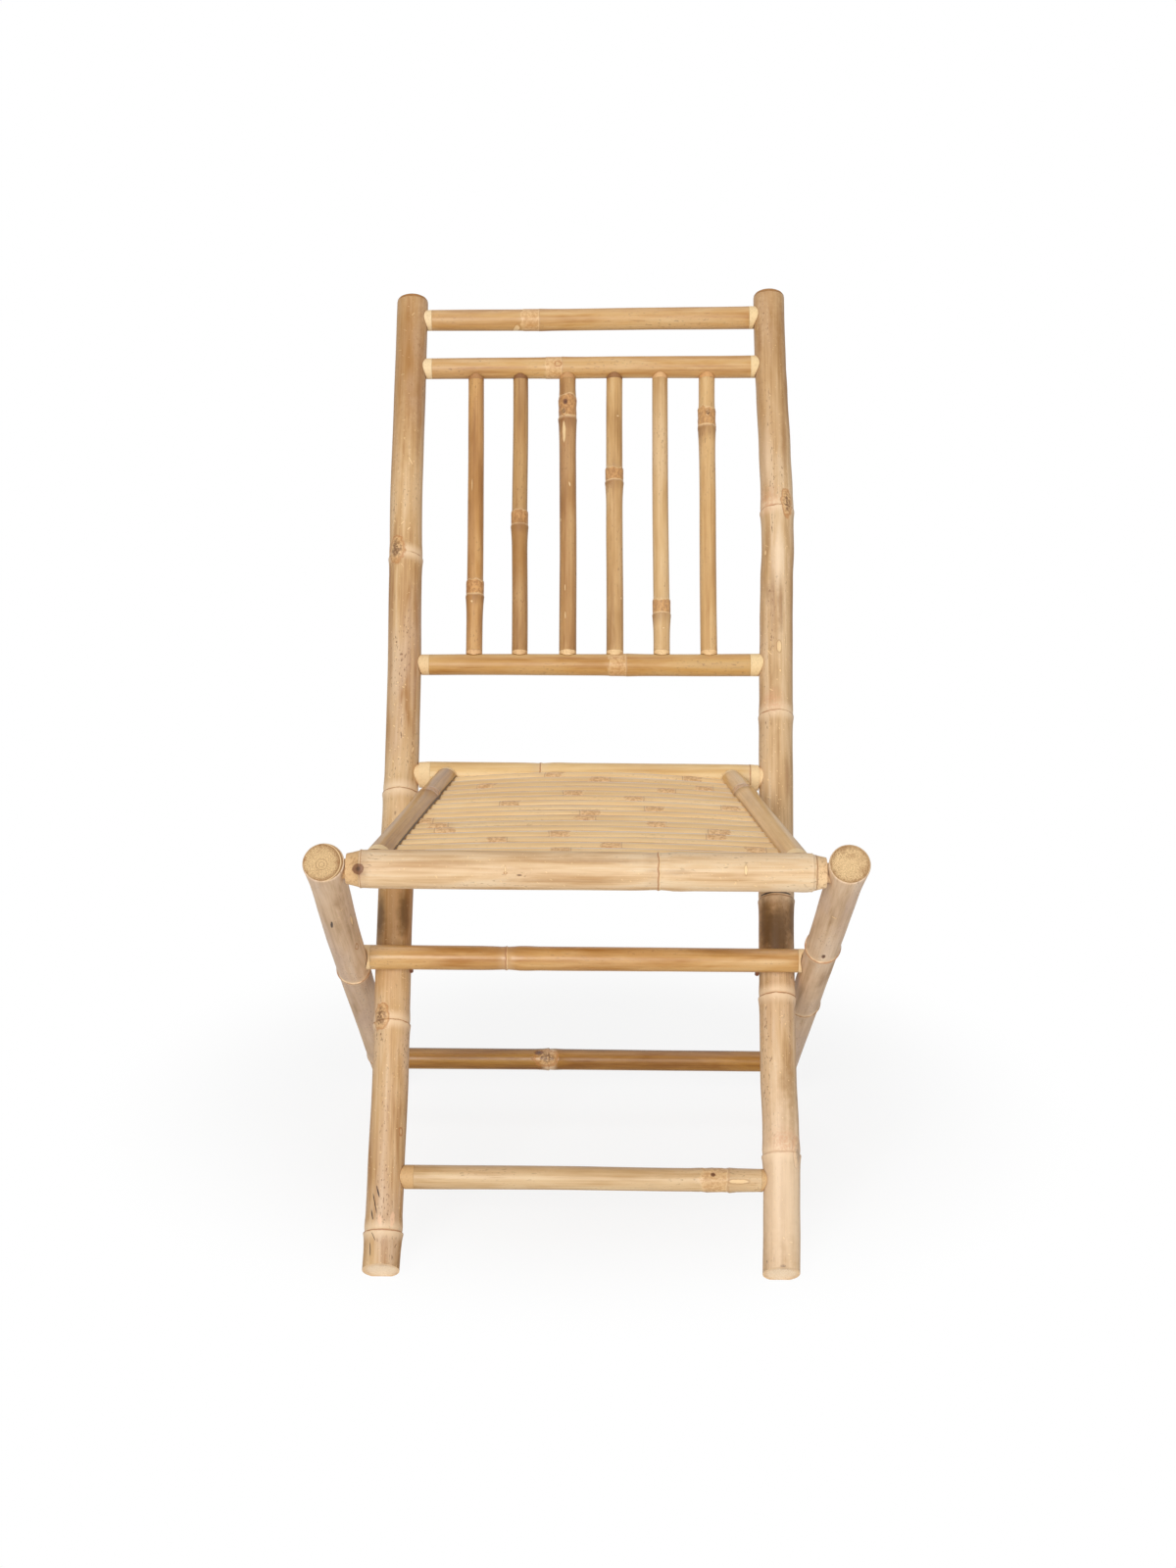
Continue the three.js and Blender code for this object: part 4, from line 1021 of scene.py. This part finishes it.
# A length past the ends that leaves none of the culm whittled
NO_WHITTLING = 1000
REAR_EDGE = 12.8 / SEAT_DEPTH
FRONT_EDGE = 1 - 16.8 / SEAT_DEPTH
BATTEN_ACROSS = {"left": (-130.5, -171.5), "right": (137, 176)}
BATTEN_RADIUS = 11.4
BATTEN_HEIGHT = 7.4
BATTEN_CLEAR = 0.3
BEARER_RADIUS = 10.4
BEARER_HEIGHT = 10.0
# Nodes of the slats, from the rear slat to the front one, as distances from the chair's middle
SLAT_NODES = [
    [-38, 92], [22], [-100, 118], [82], [-20, 140], [52], [-76, 122], [53], [-4], [9, -133],
    [-119, 70], [106, -128], [103, -30], [-66], [30, 150], [-12, -150],
]


def blend(pair, share):
    return pair[0] + (pair[1] - pair[0]) * share


def seat_point(share, across, above):
    return seat_rear.lerp(seat_front, share) + Vector((across, 0, blend(SLAT_TOP, share) + above)) * MM


seat_forward = (seat_point(1, 0, 0) - seat_point(0, 0, 0)).normalized()
seat_normal = seat_forward.cross(ACROSS)


def make_slat(index):
    """A split strip, skin up, clamped at its ends and sprung over the middle bearer."""
    share = REAR_EDGE + (FRONT_EDGE - REAR_EDGE) * (index + 0.5) / SLAT_COUNT
    width = SEAT_DEPTH * (FRONT_EDGE - REAR_EDGE) / SLAT_COUNT - SLAT_GAP
    crown = blend(SLAT_CROWN, share)
    left = blend(BATTEN_ACROSS["left"], share) - SLAT_END_MARGIN
    right = blend(BATTEN_ACROSS["right"], share) + SLAT_END_MARGIN
    length = right - left
    matrix = laid(seat_point(share, left, 0), seat_point(share, right, 0), seat_normal)
    pick = random.Random(index + 5)
    bm = bmesh.new()
    half = width / 2
    outline = [(-half, -SLAT_THICKNESS), (half, -SLAT_THICKNESS)]
    for i in range(SLAT_ARC + 1):
        out = 1 - 2 * i / SLAT_ARC
        fall = sum(part * abs(out) ** power for part, power in SLAT_CURVES)
        outline.append((half * out, -SLAT_ROUND * fall))
    section = bm.faces.new([bm.verts.new((x * MM, y * MM, 0)) for x, y in outline])
    bmesh.ops.spin(bm, geom=[section], cent=(0, 0, 0), axis=(0, 0, 1), angle=0, steps=SLAT_STEPS,
                   dvec=(0, 0, length * MM / SLAT_STEPS), use_duplicate=False)
    bm.faces.ensure_lookup_table()
    bmesh.ops.holes_fill(bm, edges=[edge for edge in bm.edges if edge.is_boundary])
    bmesh.ops.recalc_face_normals(bm, faces=bm.faces)
    bmesh.ops.triangulate(bm, faces=[face for face in bm.faces if len(face.verts) > 4])
    nodes = [(across - left, 1, pick.choice((-1, 1)), 1) for across in SLAT_NODES[index]]
    note_grain(bm, nodes, (-NO_WHITTLING, length + NO_WHITTLING))
    mark_cuts(bm)
    span = length / 2 - SLAT_END_MARGIN - BATTEN_RADIUS
    tilt = pick.uniform(-SLAT_TILT, SLAT_TILT)
    for vert in bm.verts:
        x, y, z = (part / MM for part in vert.co)
        from_middle = min(1, abs(z - length / 2) / span)
        lift = crown * (1 - from_middle ** 2)
        skin = 1 if y > -SLAT_ROUND - 0.1 else 0
        for along, size, way, stretch in nodes:
            past = (z - along - SLAT_NODE_REACH * way) / SLAT_NODE_REACH
            lift += skin * SLAT_NODE_RISE * math.exp(-past ** 2)
        lump = noise.noise(Vector((x * 0.12, index * 3.1, z * 0.025)))
        freedom = eased(min(1, (1 - from_middle) * 3))
        vert.co.y += (lift + skin * (SLAT_LUMP * lump + tilt * x / half * freedom)) * MM
    bmesh.ops.transform(bm, matrix=matrix, verts=bm.verts)
    shade = 1 + pick.uniform(-SLAT_SHADE, SLAT_SHADE) / 100
    colours = [tuple(min(1, part * shade) for part in colour[:3]) + (1,) for colour in SLAT_COLOURS]
    skin = bamboo_skin(f"slat_skin_{index + 1:02d}", colours, 20 + index * 1.37, "slat", 0.32, 0.0, 0.15,
                       0.3, 0.3, contrast=0.55, flank=half)
    finished(f"slat_{index + 1:02d}", bm, [skin, split_face], "seat", [f"seat_slat_{index + 1:02d}"])


for index in range(SLAT_COUNT):
    make_slat(index)


rear_host = (seat_rear, ACROSS, REAR_RAIL_RADIUS)
front_host = (seat_front, ACROSS, FRONT_RAIL_RADIUS)


def make_batten(side, seed, node_along, gap):
    """The split top of a culm over the slat ends. The dark gap beside it is painted shadow, a mark over
    the whole length, given as (kind, angle, width)."""
    above = BATTEN_CLEAR + BATTEN_HEIGHT - BATTEN_RADIUS
    start = seat_point(0, BATTEN_ACROSS[side][0], above)
    end = seat_point(1, BATTEN_ACROSS[side][1], above)
    matrix = laid(start, end, seat_normal)
    length = (end - start).length / MM
    bm = shaped_culm(matrix, length, (BATTEN_RADIUS - 0.3, BATTEN_RADIUS), [(node_along, 0.9, -1, 0.8)],
                     seed, (rear_host, front_host), stray=0.2, form="spindle")
    keep_side(bm, seat_point(0.5, 0, BATTEN_CLEAR), -seat_normal)
    kind, angle, width = gap
    mark = (kind, angle, length / 2, width, length / 2)
    skin = bamboo_skin(f"batten_skin_{side}", BATTEN_COLOURS[side], seed, "spindle", 0.27, 0.05,
                       0.2, 0.2, radius=BATTEN_RADIUS, marks=[mark])
    finished(f"batten_{side}", bm, [skin, split_face], "seat", [f"seat_batten_{side}"])


# The left gap is a black crack mark and the right one a brown stain mark, both painted shadow between
# the batten and the slats
make_batten("left", 31.4, 103, ("crack", 0.42, 1.3))
make_batten("right", 36.8, 80, ("stain", 2.72, 1.6))


def make_bearer(name, across, crown, seed):
    """A split culm under the slats, flat side up, with its ends against the two rails."""
    tops = [-SLAT_THICKNESS - BATTEN_CLEAR + rise for rise in crown]
    start = seat_point(0, across[0], tops[0] + BEARER_RADIUS - BEARER_HEIGHT)
    end = seat_point(1, across[1], tops[1] + BEARER_RADIUS - BEARER_HEIGHT)
    matrix = laid(start, end, seat_normal)
    length = (end - start).length / MM
    bm = shaped_culm(matrix, length, (BEARER_RADIUS, BEARER_RADIUS), [(0.45 * length, 1, 1, 1)], seed,
                     (rear_host, front_host), stray=0.2, sides=THIN_SIDES)
    slope = (seat_point(1, 0, tops[1]) - seat_point(0, 0, tops[0])).normalized()
    keep_side(bm, seat_point(0, 0, tops[0]), slope.cross(ACROSS))
    skin = bamboo_skin(f"bearer_skin_{name}", RAIL_COLOURS, seed)
    finished(f"bearer_{name}", bm, [skin, split_face], "seat", [f"seat_bearer_{name}"])


make_bearer("left", BATTEN_ACROSS["left"], (0, 0), 41.2)
make_bearer("middle", (0, 0), SLAT_CROWN, 43.5)
make_bearer("right", BATTEN_ACROSS["right"], (0, 0), 46.1)

# Outer poles
POLE_OVERHANG = {"left": 14, "right": 21}
POLE_NODES = {
    "left": [(280, 1.8, -1, 1), (575, 1.4, -1, 1)],
    "right": [(211, 2.2, -1, 1), (383, 1.8, -1, 1)],
}
POLE_MARKS = {
    "left": [
        ("crack", -1.44, 113, 1.1, 9, -0.1), ("chip", -2.64, 122, 1.2, 13),
        ("stain", -2.2, 60, 7, 16), ("ring", -2.5, 190, 2, 9),
    ],
    "right": [
        ("knot", -1.48, 196, 1.8, 5), ("chip", -1.33, 90, 1, 3, 0.9), ("stain", -1.9, 270, 4, 30),
    ],
}


# The poles swell at the top, the left one is bent there, and both are cut level at the floor
POLE_SWELL = 1.7
SWELL_REACH = 46
POLE_BEND = {"left": 2.2, "right": 0.0}
BEND_REACH = 200
POLE_EXTRA = 20


def pole_swell(along):
    return POLE_SWELL * max(0, 1 - along / SWELL_REACH) ** 1.3


def make_pole(side, seed):
    across = POLE_HALF_SPACING * SIDES[side]
    overhang = POLE_OVERHANG[side]
    start, end = pole_point(-overhang, across), pole_point(POLE_LENGTH + POLE_EXTRA, across)
    matrix = laid(start, end, pole_top_side)
    length = overhang + POLE_LENGTH + POLE_EXTRA
    bend = POLE_BEND[side] if matrix.col[0].x > 0 else -POLE_BEND[side]
    bm = shaped_culm(matrix, length, POLE_RADII, POLE_NODES[side], seed, rims=(1.6, 1), stray=0.5,
                     swell=pole_swell, form="post", marks=POLE_MARKS[side], whittled=(-5, -5),
                     stray_line=lambda z: (bend * eased(max(0, 1 - z / BEND_REACH)), 0))
    keep_side(bm, (0, 0, 0), (0, 0, -1))
    skin = bamboo_skin(f"pole_skin_{side}", POLE_COLOURS, seed, "post", 0.5, 0.5, 0.25, 0.4, 0.4, 15,
                       POLE_MARKS[side])
    finished(f"pole_{side}", bm, [skin, pole_ends[side]], "leg_frame", [f"leg_pole_{side}"])


make_pole("left", 51.3)
make_pole("right", 57.9)


# Stretchers between the poles
STRETCHER_RADII = (11.2, 10.8)


def make_stretcher(node, place, form, seed, colours, marks, lift=0):
    middle = middle_of(node)
    middle.x = 0
    middle -= pole_down * lift * MM
    along = (middle - seat_front).dot(pole_down) / MM
    ends = {side: middle + ACROSS * POLE_HALF_SPACING * SIDES[side] * MM for side in SIDES}
    matrix = laid(ends["left"], ends["right"], UP)
    length = 2 * POLE_HALF_SPACING
    hosts = [(pole_point(along, POLE_HALF_SPACING * SIDES[side]), pole_down, pole_radius(along))
             for side in SIDES]
    bm = shaped_culm(matrix, length, STRETCHER_RADII, [place], seed, hosts, stray=0.6, form=form,
                     marks=marks)
    skin = bamboo_skin(f"{node}_skin", colours, seed, form, 0.28, 0.1, 0.5, 0.4, marks=marks)
    finished(f"{node}_culm", bm, [skin, split_face], "leg_frame", [node])


make_stretcher("mid_stretcher", (142.191, 1, 1, 1), "pinch", 61.7, RAIL_COLOURS,
               [("stain", 2.0, 345, 5, 45), ("stain", 2.1, 120, 3, 60)])
# The rear stretcher lies under the seat: its shaded colours are painted shade, and the smoke along its
# top is a dark stain deepened with painted shade
make_stretcher("rear_stretcher", (177, 1.9, 1, 0.9), "post", 66.3, SHADED_COLOURS,
               [("bud", 2.6, 174, 9, 14), ("knot", 2.1, 166, 3, 5), ("smoke", 1.3, 213, 4.5, 260),
                ("stain", 2.2, 330, 3, 90), ("stain", 2.3, 90, 3, 60)], lift=2)


# Pegs stay as the frame has them, with a dark dowel finish
def peg_finish():
    f = Finish("peg_dowel")
    place = f.node("ShaderNodeTexCoord", {}, {}, "Object")
    fleck = f.noise(place, (600, 600, 600), 2.0, 3)
    colour = f.mix(srgb(96, 52, 34), srgb(150, 96, 62), fleck.step(0.35, 0.7))
    return f.surface(colour, 0.55 + fleck * 0.2, fleck * 0.1)


peg_material = peg_finish()
for name, node in frame["nodes"].items():
    if "peg" in name:
        node.data.materials.clear()
        node.data.materials.append(peg_material)


# Floor, light and camera
WHITE = (1, 1, 1, 1)
PAPER = (0.95, 0.95, 0.95, 1)
SOFT_LIGHT = 0.3
# The share of plain white that the camera sees in the floor near the chair, the middle of that part,
# and the distances over which the share grows to all of it
FLOOR_GLOW = 0.83
SHADOW_MIDDLE = 0.26
SHADOW_REACH = (0.26, 0.56)
FLOOR_RADIUS = 80
FLOOR_DROP = 0.5
# Lamps: name, place, the point it is aimed at, size and power
LAMPS = [
    ("key", (-1.2, -4.3, 1.9), (0, 0, 0.4), 1.8, 128),
    ("top", (0, 0.3, 3), (0, 0, 0.45), 2.0, 16),
    ("fill", (1.8, -2.4, 0.6), (0, 0, 0.3), 1.5, 16),
]
CAMERA_PLACE = (0.0021, -1.9537, 0.9215)
CAMERA_LENS = 49.5
CAMERA_WIDTH = 36
CAMERA_PITCH = math.radians(14.5)
CAMERA_ROLL = math.radians(0.5)


def make_floor():
    """White paper that keeps the chair's soft shadow. Farther off the camera sees it as plain white."""
    f = Finish("floor_paper")
    ray = f.node("ShaderNodeLightPath", {}, {}, "Is Camera Ray")
    place = f.node("ShaderNodeTexCoord", {}, {}, "Object")
    away = f.length(f.mapped(place, (0, -SHADOW_MIDDLE, 0)))
    paper = f.node("ShaderNodeBsdfDiffuse", {}, {"Color": PAPER})
    glow = f.node("ShaderNodeEmission", {}, {"Color": WHITE, "Strength": 1.0})
    share = away.step(*SHADOW_REACH) * (1 - FLOOR_GLOW) + FLOOR_GLOW
    shade = f.node("ShaderNodeMixShader", {}, {0: ray * share, 1: paper, 2: glow})
    f.node("ShaderNodeOutputMaterial", {}, {"Surface": shade})
    bm = bmesh.new()
    bmesh.ops.create_circle(bm, cap_ends=True, segments=64, radius=FLOOR_RADIUS)
    mesh = bpy.data.meshes.new("floor")
    bm.to_mesh(mesh)
    bm.free()
    mesh.materials.append(f.material)
    floor = bpy.data.objects.new("floor", mesh)
    floor.location.z = -FLOOR_DROP * MM
    bpy.context.scene.collection.objects.link(floor)


def make_world():
    """Soft light on the chair, and white where the camera, a reflection or clear glass sees past it."""
    f = Finish("studio", world=True)
    bpy.context.scene.world = f.material
    rays = ("Is Camera Ray", "Is Glossy Ray", "Is Transmission Ray")
    camera, glossy, clear = [f.node("ShaderNodeLightPath", {}, {}, ray) for ray in rays]
    level = camera.most(glossy).most(clear) * (1 - SOFT_LIGHT) + SOFT_LIGHT
    sky = f.node("ShaderNodeBackground", {}, {"Color": WHITE, "Strength": level})
    f.node("ShaderNodeOutputWorld", {}, {"Surface": sky})


def make_lamp(name, place, aim, size, power):
    light = bpy.data.lights.new(name, "AREA")
    light.shape = "SQUARE"
    light.size = size
    light.energy = power
    lamp = bpy.data.objects.new(name, light)
    lamp.location = place
    lamp.rotation_euler = (Vector(aim) - Vector(place)).to_track_quat("-Z", "Y").to_euler()
    bpy.context.scene.collection.objects.link(lamp)


def make_camera():
    data = bpy.data.cameras.new("camera")
    data.lens = CAMERA_LENS
    data.sensor_width = CAMERA_WIDTH
    camera = bpy.data.objects.new("camera", data)
    level = Euler((math.pi / 2 - CAMERA_PITCH, 0, 0)).to_matrix()
    turn = level @ Matrix.Rotation(CAMERA_ROLL, 3, "Z")
    camera.matrix_world = Matrix.Translation(CAMERA_PLACE) @ turn.to_4x4()
    bpy.context.scene.collection.objects.link(camera)
    bpy.context.scene.camera = camera


make_floor()
make_world()
for lamp in LAMPS:
    make_lamp(*lamp)
make_camera()
bpy.context.scene.view_settings.view_transform = "Standard"
